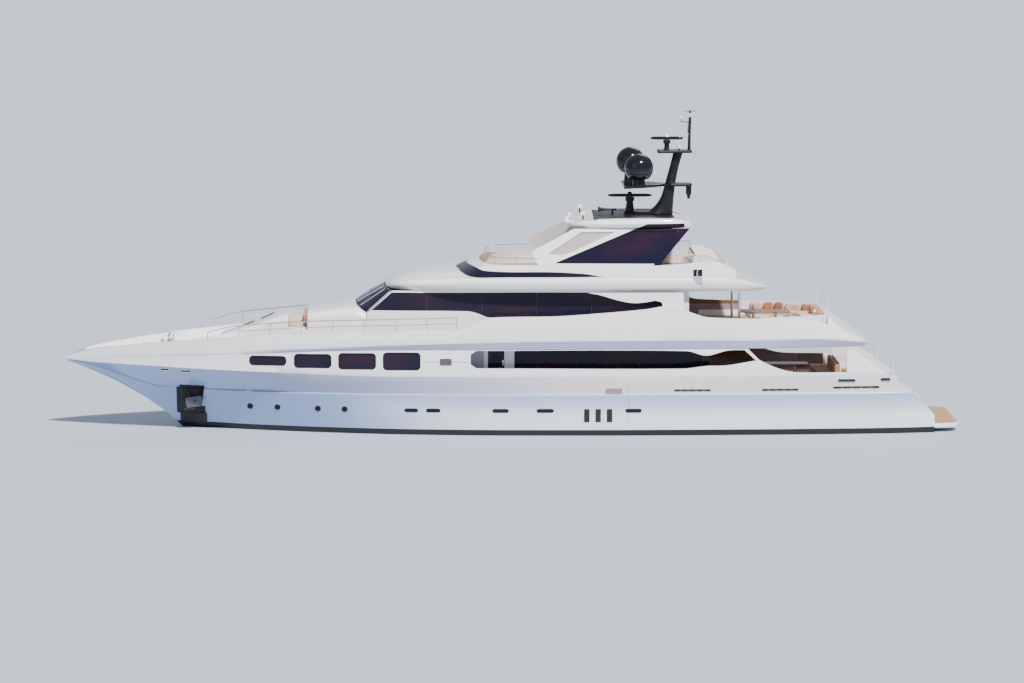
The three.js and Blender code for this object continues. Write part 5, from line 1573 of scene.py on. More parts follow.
def makeMastTackle():
    dress([turned(mastTackle["ball"], at, sides=20) for at in mastTackle["balls"]], "masthead_lamps", "lens")
    arms = [
        post(-8.62, 0.3, 14.25, 14.37, 0.04),
        tube([(-9.18, 0, 15.7), (-8.7, 0, 15.75), (-8.7, 0, 15.88)], 0.025, 8),
        tube([(-9.45, 0, 16.28), (-8.95, 0, 16.28)], 0.02, 6),
        post(-9.2, 0, 16.25, 16.29, 0.03),
        post(-8.98, 0, 16.25, 16.299, 0.025),
    ]
    for x, y in mastTackle["whips"]:
        arms.append(tube([(x, y, 15.15), (x - 0.02, y, 15.6), (x - 0.05, y, 16.2)], [0.02, 0.014, 0.008], 6))
    lights = []
    for side in (1, -1):
        arms.append(turned(mastTackle["horn"], (-4.9, side * 0.18, 11.22), (1, 0, 0.02), 20))
        arms.append(post(-5.2, side * 0.18, 10.96, 11.2, 0.04))
        arms.append(post(-3.6, side * 2.0, 10.88, 11.08, [0.05, 0.04], 10))
        drum = [(-0.1, 0.05), (-0.1, 0.1), (0.08, 0.11), (0.1, 0.09)]
        lights.append(turned(drum, (-3.6, side * 2.0, 11.18), (1, 0, 0), 16))
    dress(arms, "mast_tackle", "black")
    dress(lights, "searchlights", "white")


makeMast()
makeDomes()
makeRadars()
makeMastTackle()
print("mast made")


# Stern: bathing platform, stern door, shafts, propellers, rudders and fins
stern = {"platform": (-21.601, -22.9, 3.3, 2.7, 0.2, 0.45), "doorTop": -19.22, "doorFoot": -21.2, "shaftY": 1.55}
propeller = {"x": -18.35, "z": -1.95, "radius": 0.72, "blades": 5, "pitch": 0.95}
rudder = {"x": -19.75, "top": -0.87, "foot": -2.45}
fin = {"x": 1.5, "y": 3.36, "z": -1.25, "angle": 0.75}


def makePlatform():
    x0, x1, wide, narrow, z0, z1 = stern["platform"]
    outline = [(x0, -wide), (x0, wide), (-22.5, 3.2), (x1, narrow), (x1, -narrow), (-22.5, -3.2)]
    soft = outline[:2] + rounded(outline, 0.25, 5)[12:]
    steps = ((z0, 0.05), (z0 + 0.05, 0), (z1 - 0.03, 0), (z1, 0.03))
    plate = stepped(soft, steps, (x0, 0))
    teakTop = lambda normal, centre: 1 if normal.z > 0.9 else 0
    dress(plate, "bathing_platform", "white teak", "teak", stands="swim_platform", choose=teakTop)
    sockets = [post(-22.3, y, z1, z1 + 0.03, 0.06, 12) for y in (2.5, -2.5)]
    sockets += [post(x, y, z1 - 0.005, z1 + 0.02, 0.05, 12) for x in (-22.0, -22.6) for y in (-2.2, 2.2)]
    dress(sockets, "platform_sockets", "steel")


def makeSternDoor():
    (topX, topZ), (footX, footZ) = transomLine
    slope = (topZ - footZ) / (topX - footX)
    at = lambda x: footZ + (x - footX) * slope
    high, low, half = stern["doorTop"], stern["doorFoot"], garage["half"] - 0.02
    outline = [(high, at(high)), (low, at(low)), (low + 0.2, at(low) + 0.02), (high + 0.08, at(high) - 0.1)]
    door = drawn("y", outline, -half, half)
    dress(door, "stern_door_panel", "white", body="garage_door", stands="garage_door")
    along = Vector((footX - topX, 0, footZ - topZ)).normalized()
    out = Vector((along.z, 0, -along.x)) * 0.002
    lines = []
    for share in (0.33, 0.66):
        x = high + (low - high) * share
        lines.append(tube([(x + out.x, y, at(x) + out.z) for y in (-half + 0.1, half - 0.1)], 0.01, 6))
    dress(lines, "stern_door_lines", "rubber", body="garage_door")


def makeShafts():
    y = stern["shaftY"]
    x, z = propeller["x"], propeller["z"]
    bearing = [(0, 0.1), (0.04, 0.18), (0.12, 0.2), (0.6, 0.2), (0.68, 0.17), (0.7, 0.1)]
    oval = [(0.2 * math.cos(a), 0.045 * math.sin(a)) for a in allRound(16)]
    struts = []
    for lean in (0.7, -0.7):
        middles = [(y + lean * t, -1.95 + 1.42 * t) for t in np.linspace(0, 1, 8)]
        struts.append(loft([[(-17.6 + dx, my + dy, z) for dx, dy in oval] for my, z in middles]))
    shaft = tube([(-10.5, y, -1.35), (x + 0.35, y, z)], 0.12, 20)
    gear = united(shaft, turned(bearing, (x + 0.3, y, z), (1, 0, 0.085), 24), *struts)
    dressPair(cut(gear, hullSolid(-gap)), "shaft_line", "steel", stands="shaft_gear")


def makePropellers():
    y, x, z, radius = stern["shaftY"], propeller["x"], propeller["z"], propeller["radius"]
    profile = [(-0.3, 0.02), (-0.28, 0.07), (-0.2, 0.11), (0.0, 0.16), (0.18, 0.17), (0.24, 0.165), (0.25, 0.13)]
    blades = []
    for turn in allRound(propeller["blades"]):
        rings = []
        for t in np.linspace(0, 1, 14):
            r = 0.11 + (radius - 0.11) * t
            full = 0.16 + 0.36 * math.sin(math.pi * min(0.15 + t * 0.8, 1)) * (1 - 0.35 * t)
            chord = full if t < 0.999 else 0.1
            chord *= max(0.12, 1 - max(0, t - 0.85) * 6)
            pitch = math.atan2(propeller["pitch"] * 0.5, 2 * math.pi * r * 0.5 + 0.2)
            ring = []
            for a in allRound(16):
                u = chord * 0.5 * math.cos(a)
                v = (0.028 - 0.02 * t) * math.sin(a) * (1.1 - 0.3 * math.cos(a))
                across = u * math.cos(pitch) - v * math.sin(pitch)
                ahead = u * math.sin(pitch) + v * math.cos(pitch) - 0.05 * t
                angle = turn + 0.35 * t * t + across / r
                ahead = max(-0.27, min(0.24, ahead))
                ring.append((x + ahead, y + r * math.cos(angle), z + r * math.sin(angle)))
            rings.append(ring)
        blades.append(loft(rings))
    whole = united(turned(profile, (x, y, z), (1, 0, 0), 32), *blades)
    dressPair(whole, "propeller_screw", "bronze", body="propeller", stands="propeller", angle=50)


def foilRing(centre, thick, chord, out):
    ring = []
    for a in allRound(20):
        u = 0.35 * chord - chord * (0.5 - 0.5 * math.cos(a))
        t = (0.35 * chord - u) / chord
        width = 0.0
        if 0 < t < 0.999:
            width = thick * 2.6 * (math.sqrt(t) * (1 - t) + 0.12 * (1 - t)) * math.copysign(1, math.sin(a))
        ring.append(tuple(Vector(centre) + Vector((u, 0, 0)) + Vector(out) * width))
    return ring


def makeRudders():
    y = stern["shaftY"]
    x, top, foot = rudder["x"], rudder["top"], rudder["foot"]
    rings = []
    for t in np.linspace(0, 1, 10):
        z = foot + (top - 0.12 - foot) * t
        chord = (0.95 + 0.35 * t) * (0.94 if t < 0.05 else 1)
        rings.append(foilRing((x, y, z), 0.07 + 0.04 * t, chord, (0, 1, 0)))
    stock = post(x, y, top - 0.25, top - 0.02, 0.1, 20)
    dressPair(united(loft(rings), stock), "rudder_blade", "bottom", body="rudder", stands="rudder", angle=50)


def makeFins():
    turn = fin["angle"]
    root = Vector((fin["x"], fin["y"], fin["z"]))
    out = Vector((0, math.cos(turn), -math.sin(turn)))
    up = Vector((0, math.sin(turn), math.cos(turn)))
    rings = []
    for t in np.linspace(0, 1, 9):
        distance = 0.1 + 1.05 * t
        chord = (1.3 - 0.35 * t) * (0.93 if t > 0.95 else 1)
        centre = root + out * distance - Vector((0.15 * t, 0, 0)) + Vector((chord * 0.05, 0, 0))
        rings.append(foilRing(centre, (0.1 - 0.04 * t) * 0.92, chord, up))
    dressPair(loft(rings), "stabilizer_blade", "bottom", body="stabilizer", stands="stabilizer", angle=50)


makePlatform()
makeSternDoor()
makeShafts()
makePropellers()
makeRudders()
makeFins()
print("stern gear made")


# Cushions: closed forms swollen by a cloth simulation, all in one run, then given welts and sewn channels
stuffing = {"voxel": 0.02, "pressure": 3.0, "frames": 12, "cap": 0.011, "welt": 0.011, "stiff": 12}
softPieces = []


# A pad, swollen later. Its outline is x, y, and its lower and upper face may slope with x
def pad(name, plan, low, high, finish="cushion", fill=0.75, soft=0.05, channels=(), welts=True):
    low, high = (face if callable(face) else lambda x, z=face: z for face in (low, high))
    edge = rounded(plan, soft * 1.6, 3)
    rings = []
    for share, by in ((0, soft), (0.25, 0), (0.75, 0), (1, soft)):
        flat = spread(edge, -by, np.mean(np.array(plan), axis=0))
        rings.append([(x, y, low(x) + (high(x) - low(x)) * share) for x, y in flat])
    softPieces.append({
        "piece": loft(rings), "name": name, "finish": finish, "fill": fill, "plan": edge, "low": low, "high": high,
        "channels": channels, "welts": welts,
    })


def pointsOf(mesh):
    flat = np.empty(len(mesh.vertices) * 3)
    mesh.vertices.foreach_get("co", flat)
    return flat.reshape(-1, 3)


# Moves points towards sewn lines: each channel is an axis and a place along it
def sewChannels(points, channels, top):
    for axis, place, depth in channels:
        away = (points[:, axis] / modelScale - place) / 0.022
        dip = np.exp(-away * away) * depth * modelScale
        points[:, 2] -= dip * (points[:, 2] > top * modelScale)


def swell():
    scene = bpy.context.scene
    starts = []
    for soft in softPieces:
        piece = soft["piece"]
        skin = piece.modifiers.new("skin", "REMESH")
        skin.mode = "VOXEL"
        skin.voxel_size = stuffing["voxel"]
        starts.append(pointsOf(applied(piece).data))
        cloth = piece.modifiers.new("cloth", "CLOTH")
        cloth.point_cache.frame_start, cloth.point_cache.frame_end = 1, stuffing["frames"]
        values = cloth.settings
        values.quality = 6
        values.mass = 0.2
        values.use_pressure = True
        values.uniform_pressure_force = stuffing["pressure"]
        values.tension_stiffness = values.compression_stiffness = values.shear_stiffness = stuffing["stiff"]
        values.bending_stiffness = 0.8
        values.effector_weights.gravity = 0
    for step in range(1, stuffing["frames"] + 1):
        scene.frame_set(step)
    graph = bpy.context.evaluated_depsgraph_get()
    for soft, start in zip(softPieces, starts):
        piece = soft["piece"]
        points = start.copy()
        low, high = start[:, 2].min(), start[:, 2].max()
        move = pointsOf(piece.evaluated_get(graph).data) - start
        length = np.linalg.norm(move, axis=1, keepdims=True)
        points = start + move * np.minimum(1, stuffing["cap"] / np.maximum(length, 1e-9))
        points[:, 2] = np.maximum(points[:, 2], low)
        sewChannels(points, soft["channels"], (low + high) / 2 / modelScale)
        piece.modifiers.clear()
        piece.data.vertices.foreach_set("co", points.ravel())
        piece.data.update()
    scene.frame_set(1)


def finishSoftPieces():
    swell()
    for soft in softPieces:
        piece = soft["piece"]
        if soft["welts"]:
            welts = []
            for share in (0.2, 0.8):
                path = []
                for x, y in soft["plan"]:
                    low, high = soft["low"](x), soft["high"](x)
                    found = piece.closest_point_on_mesh(Vector((x, y, low + (high - low) * share)) * modelScale)
                    path.append(tuple((found[1] + found[2] * 0.001) / modelScale))
                welts.append(tube(path, stuffing["welt"], 6, looped=True))
            piece = gathered(piece, *welts)
        dress(piece, soft["name"], soft["finish"], angle=60)


# Furniture of the open decks. Plan lines are x, y to port
settee = {
    "outer": [(-16.1, 0), (-16.1, 2.4), (-15.4, 2.95), (-14.5, 3.4), (-12.6, 3.8)],
    "back": [(-15.8, 0), (-15.8, 2.27), (-15.24, 2.7), (-14.4, 3.11), (-12.6, 3.49)],
    "seat": [(-15.0, 0), (-15.0, 1.85), (-14.75, 2.05), (-14.15, 2.34), (-12.6, 2.67)],
    "base": 0.22, "seatTop": 0.4, "backTop": 0.8, "slit": 0.012,
    "pillows": (
        (-13.0, -3.27, -12, "pale"), (-13.55, -3.15, -12, "orange"), (-14.1, -3.03, -12, "brown"),
        (-13.2, 3.22, 12, "orange"), (-14.0, 3.05, 12, "brown"), (-15.66, -1.75, 90, "brown"),
        (-15.66, -1.2, 90, "orange"), (-15.66, 0.4, 90, "ivory"), (-15.66, 1.3, 90, "orange"),
    ),
}
afterSofa = {"x": (-16.9, -16.6, -15.6), "y": 2.1, "base": 0.22, "seatTop": 0.43, "backTop": 0.93, "seats": 3}
sunPad = {"x": (-10.6, -9.85, -9.3, -9.2, -9.0), "y": 2.2, "pads": 4, "thick": 0.16}
bowSeat = {"x": (10.52, 11.48), "y": 1.8, "backY": 1.6, "z": (5.251, 5.36, 5.58, 5.98), "seats": 3}


def between(a, b, t):
    return tuple(np.array(a) * (1 - t) + np.array(b) * t)


# A quarter of a ring between two plan lines, pulled in a little at its ends
def ringPlan(inner, outer, i, into):
    a, b, c, d = inner[i], inner[i + 1], outer[i + 1], outer[i]
    t = settee["slit"] / max(math.dist(a, b), 0.1)
    return spread([between(a, b, t), between(a, b, 1 - t), between(c, d, t), between(c, d, 1 - t)], -into)


# A width from -half to half shared among cushions
def shares(half, count, slit=0.015):
    wide = 2 * half / count
    return enumerate([(-half + wide * i + slit, -half + wide * (i + 1) - slit) for i in range(count)])


def bothPlans(plan):
    return (("port", plan), ("starboard", [(x, -y) for x, y in plan][::-1]))


def makeSettee():
    deck = levels["upperDeck"]
    whole = lambda line: [(x, -y) for x, y in line[:0:-1]] + line
    ringTo = lambda inner, low, top: drawn("z", whole(settee["outer"]) + whole(inner)[::-1], low, top)
    thin = [between(o, b, 0.3) for o, b in zip(settee["outer"], settee["back"])]
    toe = [between(s, b, 0.06) for s, b in zip(settee["seat"], settee["back"])]
    base = ringTo(settee["seat"], deck + 0.08, deck + settee["base"])
    base = united(base, ringTo(toe, deck + gap, deck + 0.09))
    base = united(base, ringTo(thin, deck + 0.1, deck + settee["backTop"] - 0.01))
    dress(base, "settee_base", "white", stands="upper_sofa")
    seatLow, seatHigh = deck + settee["base"] + 0.002, deck + settee["seatTop"]
    backLow, backHigh = seatHigh - 0.14, deck + settee["backTop"] - 0.005
    for i in range(4):
        for side, plan in bothPlans(ringPlan(settee["back"], settee["seat"], i, 0.012)):
            pad(f"settee_seat_{i}_{side}", plan, seatLow, seatHigh, "pale", soft=0.04)
        for side, plan in bothPlans(ringPlan(thin, settee["back"], i, 0.012)):
            tone = "cushion" if i < 2 else "pale"
            pad(f"settee_back_{i}_{side}", plan, backLow, backHigh, tone, soft=0.035, fill=0.6)
    for i, (x, y, angle, tone) in enumerate(settee["pillows"]):
        turn = Matrix.Rotation(math.radians(angle), 2)
        plan = [tuple(Vector((x, y)) + turn @ Vector(p)) for p in oblong(-0.23, 0.23, -0.08, 0.08)]
        pad(f"pillow_{i}", plan, seatHigh + 0.005, seatHigh + 0.42, tone, soft=0.07, fill=0.9, welts=False)


def makeAfterSofa():
    deck, y = levels["mainDeck"], afterSofa["y"]
    back, seat, front = afterSofa["x"]
    low, high, head = (deck + afterSofa[key] for key in ("base", "seatTop", "backTop"))
    body = roundBox(back, front, -y, y, deck + 0.08, low, 0.02, 2)
    base = united(body, box(back + 0.02, front - 0.05, -y + 0.04, y - 0.04, deck + gap, deck + 0.1))
    base = united(base, roundBox(back, back + 0.08, -y, y, deck + 0.1, head + 0.01, 0.03, 3))
    dress(base, "after_sofa_base", "white", stands="aft_sofa")
    for i, span in shares(y, afterSofa["seats"], 0.02):
        pad(f"after_sofa_seat_{i}", oblong(seat + 0.03, front - 0.02, *span), low + 0.002, high)
        plan = oblong(back + 0.1, seat + 0.01, *span)
        pad(f"after_sofa_back_{i}", plan, low + 0.002, head - 0.01, soft=0.04, fill=0.6)


def makeSunPad():
    aft, peak, front, ledge, fore = sunPad["x"]
    y, deck, thick = sunPad["y"], levels["sunDeck"], sunPad["thick"]
    top = [(aft, 8.85 - thick), (peak, 9.15 - thick), (front, 9.15 - thick), (ledge, 8.5), (fore, 8.5)]
    side = [(aft, deck + gap), *top, (fore, deck + gap)]
    base = drawn("y", rounded(side, 0.02, 2), -y, y)
    dress(base, "sun_pad_base", "white", stands="sun_lounge")
    tread = roundBox(ledge + 0.02, fore - 0.01, -y + 0.05, y - 0.05, 8.49, 8.505, 0.005, 2)
    dress(tread, "sun_pad_step", "teak")
    slope = straightReader(top[:3])
    low = lambda x: slope(x) + 0.002
    high = lambda x: low(x) + thick - 0.02
    channels = [(0, x, 0.02) for x in (-10.27, -9.97, -9.65)]
    for i, (y0, y1) in shares(y, sunPad["pads"]):
        x0, x1 = aft + 0.02, front - 0.02
        plan = [(x0, y0), (peak, y0), (x1, y0), (x1, y1), (peak, y1), (x0, y1)]
        pad(f"sun_pad_{i}", plan, low, high, "ivory", channels=channels, soft=0.03)


def makeBowSeat():
    x0, x1 = bowSeat["x"]
    y, backY = bowSeat["y"], bowSeat["backY"]
    foot, base, top, head = bowSeat["z"]
    body = roundBox(x0, x1, -y, y, foot, base, 0.015, 2)
    body = united(body, roundBox(x0, x0 + 0.05, -backY, backY, foot, head, 0.02, 2))
    dress(body, "bow_seat_base", "white", stands="foredeck_seat")
    base += 0.002
    spans = zip(shares(y, bowSeat["seats"]), shares(backY, bowSeat["seats"]))
    for (i, seatSpan), (_, backSpan) in spans:
        pad(f"bow_seat_{i}", oblong(x0 + 0.22, x1 - 0.01, *seatSpan), base, top, "pale", soft=0.04)
        pad(f"bow_seat_back_{i}", oblong(x0 + 0.06, x0 + 0.2, *backSpan), base, head, fill=0.6, soft=0.03)


# Tables: varnished tops on turned steel legs
tables = {
    "after": (-14.2, 2.4, 1.1, "mainDeck", "aft_table"), "upper": (-13.1, 2.6, 1.3, "upperDeck", "upper_table"),
}
tableLeg = [
    (0.0, 0.28), (0.02, 0.28), (0.035, 0.25), (0.05, 0.12), (0.12, 0.085), (0.5, 0.075), (0.6, 0.1), (0.66, 0.17),
    (0.68, 0.2),
]


def makeTables():
    for name, (x, length, width, level, node) in tables.items():
        deck = levels[level]
        outline = oblong(x - length / 2, x + length / 2, -width / 2, width / 2)
        top = softPlate(outline, deck + 0.682, deck + 0.738, 0.02, 0.22)
        dress(top, f"{name}_table_top", "wood", stands=node)
        feet = (x - length * 0.22, x + length * 0.22)
        legs = [turned(tableLeg, (foot, 0, deck + gap), sides=28) for foot in feet]
        dress(legs, f"{name}_table_legs", "steel")


makeSettee()
makeAfterSofa()
makeSunPad()
makeBowSeat()
finishSoftPieces()
makeTables()
print("furniture made")


# Rails, ground tackle and the small fittings of the decks
rails = {
    "stations": (15.6, 14, 12.4, 10.8, 9.2, 7.6, 6, 4.4, 2.9), "height": 0.6,
    "top": 0.03, "middle": 0.02, "post": 0.024,
    "coaming": ((-9.3, -8.9, -8.5, -8.1), 0.42), "nose": (-1.35, 9.05),
}
tackle = {
    "x": 17.6, "y": 0.5, "bed": (16.95, 18.15, 0.7), "bollards": ((18.9, 0.55), (14.6, 2.5)), "hatches": (13.6, 12.6),
    "bollard": [(0, 0.075), (0.02, 0.075), (0.04, 0.05), (0.2, 0.05), (0.23, 0.065), (0.25, 0.05), (0.255, 0.01)],
    "drum": [
        (0.08, 0.23), (0.16, 0.23), (0.18, 0.17), (0.22, 0.14), (0.27, 0.2), (0.3, 0.21), (0.33, 0.16),
        (0.42, 0.13), (0.53, 0.16), (0.57, 0.19), (0.6, 0.17), (0.62, 0.08),
    ],
}


def railFoot(x):
    if x > 13.5:
        c = hullAt(x)
        return (x, float(c[15]) - 0.07, float(c[16]) + 0.004)
    row = bandAt(x)
    return (x, float(row[5]) - 0.08, float(row[4]) + 0.004)


def flange(at, radius=0.05, thick=0.014):
    return turned([(0, radius), (thick * 0.6, radius), (thick, radius * 0.7)], at, sides=12)


def makeBowRails():
    feet = [railFoot(x) for x in rails["stations"]]
    tops = [(x, y - 0.03, z + (0.35 if i == 0 else rails["height"])) for i, (x, y, z) in enumerate(feet)]
    middles = [(x, y - 0.015, z + 0.3) for x, y, z in feet[1:]]
    parts = [tube(smoothLine(tops, 4), rails["top"], 10), tube(smoothLine(middles, 4), rails["middle"], 8)]
    for foot, top in zip(feet, tops):
        joint = turned([(-0.03, 0.035), (0.03, 0.035)], top, (1, 0, 0), 8)
        parts += [tube([foot, top], rails["post"], 8), flange(foot), joint]
    dressPair(parts, "bow_rail", "steel", stands="foredeck_rail")


def makeSunDeckRails():
    stations, height = rails["coaming"]
    ring = coamingRing(0)
    share = lambda x: next(i for i, p in enumerate(ring) if p[0] > x) / (len(ring) - 1)
    feet = [coamingPoint(share(x), 8.78, -0.09) for x in stations]
    parts = [tube([(x, y, z + height) for x, y, z in feet], 0.022, 8)]
    parts += [post(x, y, z, z + height, 0.016) for x, y, z in feet]
    dressPair(parts, "sun_deck_rail", "steel")
    start, z = rails["nose"]
    line = [(x, y) for x, y, _ in coamingRing(1, -0.08) if x > start]
    nose = [tube([(x, y, z) for x, y in line], 0.02, 8)]
    nose += [post(x, y, coamingTopAt(x) - 0.05, z, 0.014) for x, y in line[::4]]
    dress(nose, "sun_deck_nose_rail", "steel")


anchor = {
    "x": 16.62, "shank": [(0.0, 0.045), (0.02, 0.075), (0.5, 0.09), (0.85, 0.075)],
    "crown": [(-0.3, 0.08), (-0.28, 0.11), (0.28, 0.11), (0.3, 0.08)], "fluke": 0.62,
    "plate": [(17.0, 0.87), (16.25, 0.87), (16.12, 2.08), (16.96, 2.08)],
    "bar": [(16.85, 1.64), (16.0, 1.76), (15.97, 1.22), (16.76, 1.12)],
    "rim": [(17.3, 0.78), (16.1, 0.78), (15.85, 2.3), (17.12, 2.3), (17.3, 0.78)],
}


def makeAnchors():
    middle = anchor["x"]
    shank = turned(anchor["shank"], (middle, 1.2, 1.1), (0, 0, 1), 12)
    crown = turned(anchor["crown"], (middle, 1.22, 1.02), (1, 0, 0), 16)
    flukes = []
    for side in (-1, 1):
        rings = []
        for t in np.linspace(0, 1, 8):
            wide = 0.13 * (1 - t) ** 0.7 + 0.01
            x, y, z = middle + side * (0.24 + 0.06 * t), 1.24 + 0.1 * t, 0.98 + anchor["fluke"] * t
            rings.append([(x + wide * math.cos(a), y + 0.03 * math.sin(a), z) for a in allRound(12)])
        flukes.append(loft(rings))
    dressPair([shank, crown, *flukes], "anchor_gear", "black", "steel", stands="anchor", angle=50)
    # near-black plate in the pocket: painted shade and dark reflection
    plate = drawn("y", rounded(anchor["plate"], 0.05), 1.0, 1.03)
    dressPair(plate, "anchor_plate", "rubber")
    bar = drawn("y", rounded(anchor["bar"], 0.05), 1.31, 1.34)
    dressPair(bar, "anchor_bar", "grey", "steel")
    edge = subdivided(anchor["rim"], 8)[:-1]
    rim = tube([(x, sideY(x, z) + 0.004, z) for x, z in edge], 0.022, 6, looped=True)
    dressPair(rim, "anchor_pocket_rim", "rubber")


def makeWindlasses():
    x, y = tackle["x"], tackle["y"]
    deck = deckAt(x) + gap
    x0, x1, half = tackle["bed"]
    bed = softPlate(oblong(16.92, 18.18, -0.73, 0.73), deck + 0.02, deck + 0.1, 0.02, 0.12)
    foot = [(end, deckAt(end) + gap) for end in (x1, x0)]
    bed = united(bed, drawn("y", [*foot, (x0, deck + 0.06), (x1, deck + 0.06)], -half, half))
    dress(bed, "windlass_bed", "white", stands="windlasses")
    parts, chain = [], []
    for side in (y, -y):
        parts.append(turned(tackle["drum"], (x, side, deck), sides=28))
        parts.append(roundBox(17.97, 18.13, side - 0.1, side + 0.1, deck, deck + 0.3, 0.03, 3))
        for i in range(9):
            cx, level = 17.78 + i * 0.075, deck + 0.24 - max(0, i - 4) * 0.035
            lying, standing = (0.035, 0) if i % 2 == 0 else (0, 0.035)
            chain.append(tube([
                (cx + 0.055 * math.cos(a), side + lying * math.sin(a), level + standing * math.sin(a))
                for a in allRound(12)
            ], 0.012, 6, looped=True))
        pipe = [(0, 0.1), (0.02, 0.12), (0.06, 0.12), (0.08, 0.08), (0.02, 0.06)]
        parts.append(turned(pipe, (18.42, side, deckAt(18.42) + gap), sides=18))
    dress(parts, "windlass_drums", "steel", angle=40)
    dress(chain, "anchor_chain", "steel")


# A plate on the trunk that follows its slope
def hatchPlate(x, low, high, reach):
    top = float(trunkAt(x)[1])
    slope = (float(trunkAt(x + 0.3)[1]) - float(trunkAt(x - 0.3)[1])) / 0.6

    def tilt(form):
        for v in form.verts:
            v.co.z += (top + (v.co.x / modelScale - x) * slope) * modelScale

    return editMesh(softPlate(oblong(x - reach, x + reach, -reach, reach), low, high, 0.008, 0.08), tilt)


def makeDeckFittings():
    parts = []
    for x, y in tackle["bollards"]:
        ground = deckAt(x) + gap
        parts += [turned(tackle["bollard"], (x + shift, y, ground), sides=16) for shift in (-0.13, 0.13)]
        parts.append(roundBox(x - 0.25, x + 0.25, y - 0.08, y + 0.08, ground, ground + 0.02, 0.008, 2))
    dressPair(parts, "bollards", "steel")
    dress([hatchPlate(x, 0.0, 0.05, 0.34) for x in tackle["hatches"]], "foredeck_hatch_rims", "steel")
    dress([hatchPlate(x, 0.045, 0.06, 0.3) for x in tackle["hatches"]], "foredeck_hatch_glass", "glass")


makeBowRails()
makeSunDeckRails()
makeAnchors()
makeWindlasses()
makeDeckFittings()
print("rails and deck fittings made")


# Fittings of the ship's side, as x, z and half sizes
sideFittings = {
    "ports": ((13.48, 1.3), (12.07, 1.3), (9.99, 1.3), (8.62, 1.3)), "portRadius": 0.13,
    "slots": ((5.22, 1.3, 0.33), (4.1, 1.3, 0.35), (0.67, 1.3, 0.4), (-1.6, 1.3, 0.42), (-6.1, 1.3, 0.4)),
    "vents": ((-3.72, 1.05, 0.13, 0.33), (-4.3, 1.05, 0.13, 0.33), (-4.88, 1.05, 0.13, 0.33)),
    "grille": (-5.1, 2.29, 0.43, 0.17), "scuppers": ((-9.1, 2.33, 0.95), (-13.6, 2.33, 0.95), (-17.5, 2.42, 1.2)),
    "fairleads": (
        (-19.0, 2.8, 0.24, 0.07), (-17.0, 2.78, 0.44, 0.07), (17.85, 3.2, 0.2, 0.055), (16.75, 3.15, 0.26, 0.055),
    ),
    "smallPort": (3.46, 3.82, 0.3, 0.17), "line": (2.3, 4.55, 3.82), "seam": (-5.85, 0.5, 2.6),
}


# A rounded frame lying on the ship's side, and the pane inside it
def sidePatch(x, z, halfX, halfZ, out, corner):
    outline = roundedWindow(x - halfX, x + halfX, z - halfZ, z + halfZ, min(corner, halfX, halfZ) * 0.99, 4)
    normal = sideNormal(x, z)
    foot = Vector((x, sideY(x, z), z))
    ring = []
    for px, pz in outline:
        flat = Vector((px, foot.y - (normal.x * (px - x) + normal.z * (pz - z)) / normal.y, pz))
        ring.append(flat + normal * out)
    return ring, normal


def paneAt(x, z, halfX, halfZ, out=0.006, corner=0.2):
    ring, normal = sidePatch(x, z, halfX, halfZ, out, corner)
    return loft([[tuple(p - normal * 0.03) for p in ring], [tuple(p) for p in ring]])


def rimAt(x, z, halfX, halfZ, radius=0.014, corner=0.2):
    ring, _ = sidePatch(x, z, halfX, halfZ, 0.006, corner)
    return tube([tuple(p) for p in ring], radius, 6, looped=True)


# Level bars across a vent
def slats(x, z, halfX, halfZ, edge, count, points):
    places = np.linspace(x - halfX, x + halfX, points)
    for level in np.linspace(z - halfZ + edge, z + halfZ - edge, count):
        yield tube([(px, sideY(px, level) + 0.012, level) for px in places], 0.012, 6)


def makeSideFittings():
    glass, steel, dark, brown = [], [], [], []
    for x, z in sideFittings["ports"]:
        r = sideFittings["portRadius"]
        glass.append(paneAt(x, z, r, r))
        dark.append(rimAt(x, z, r + 0.01, r + 0.01, 0.018))
    for x, z, halfX in sideFittings["slots"]:
        glass.append(paneAt(x, z, halfX, 0.08, corner=0.09))
        dark.append(rimAt(x, z, halfX + 0.01, 0.09, 0.012, 0.1))
    for vent in sideFittings["vents"]:
        dark += [paneAt(*vent, 0.004, 0.03), rimAt(*vent, 0.012, 0.03), *slats(*vent, 0.06, 7, 2)]
    brown += [paneAt(*sideFittings["grille"], 0.004, 0.04), *slats(*sideFittings["grille"], 0.04, 6, 5)]
    for x, z, halfX in sideFittings["scuppers"]:
        dark.append(paneAt(x, z, halfX, 0.06, 0.004, 0.06))
        for start in np.linspace(x - halfX, x + halfX, 6)[:-1]:
            brown.append(rimAt(start + halfX / 5, z, halfX / 5 - 0.02, 0.06, 0.008, 0.06))
    for x, z, halfX, halfZ in sideFittings["fairleads"]:
        dark.append(paneAt(x, z, halfX, halfZ, 0.004, 0.06))
        steel.append(rimAt(x, z, halfX + 0.015, halfZ + 0.015, 0.024, 0.08))
    steel.append(rimAt(*sideFittings["smallPort"], 0.012, 0.06))
    x0, x1, z = sideFittings["line"]
    level = [(px, z) for px in np.linspace(x0, x1, 12)]
    x, z0, z1 = sideFittings["seam"]
    upright = [(x, pz) for pz in np.linspace(z0, z1, 14) if abs(pz - 2.12) > 0.05]
    seams = [
        tube([(px, sideY(px, pz) + 0.001, pz) for px, pz in line], radius, 6)
        for line, radius in ((level, 0.01), (upright, 0.008))
    ]
    dressPair(paneAt(16.45, 0.52, 0.68, 0.26, 0.006, 0.05), "anchor_chafe_plate", "rubber")
    dressPair(glass, "side_port_glass", "glass")
    dressPair(steel, "side_fitting_rims", "steel")
    dressPair(dark, "side_vents", "rubber")
    dressPair(brown, "side_grilles", "panel")
    dressPair(paneAt(*sideFittings["smallPort"], 0.006, 0.06), "side_hatch", "grey")
    dressPair(seams, "side_seams", "rubber")


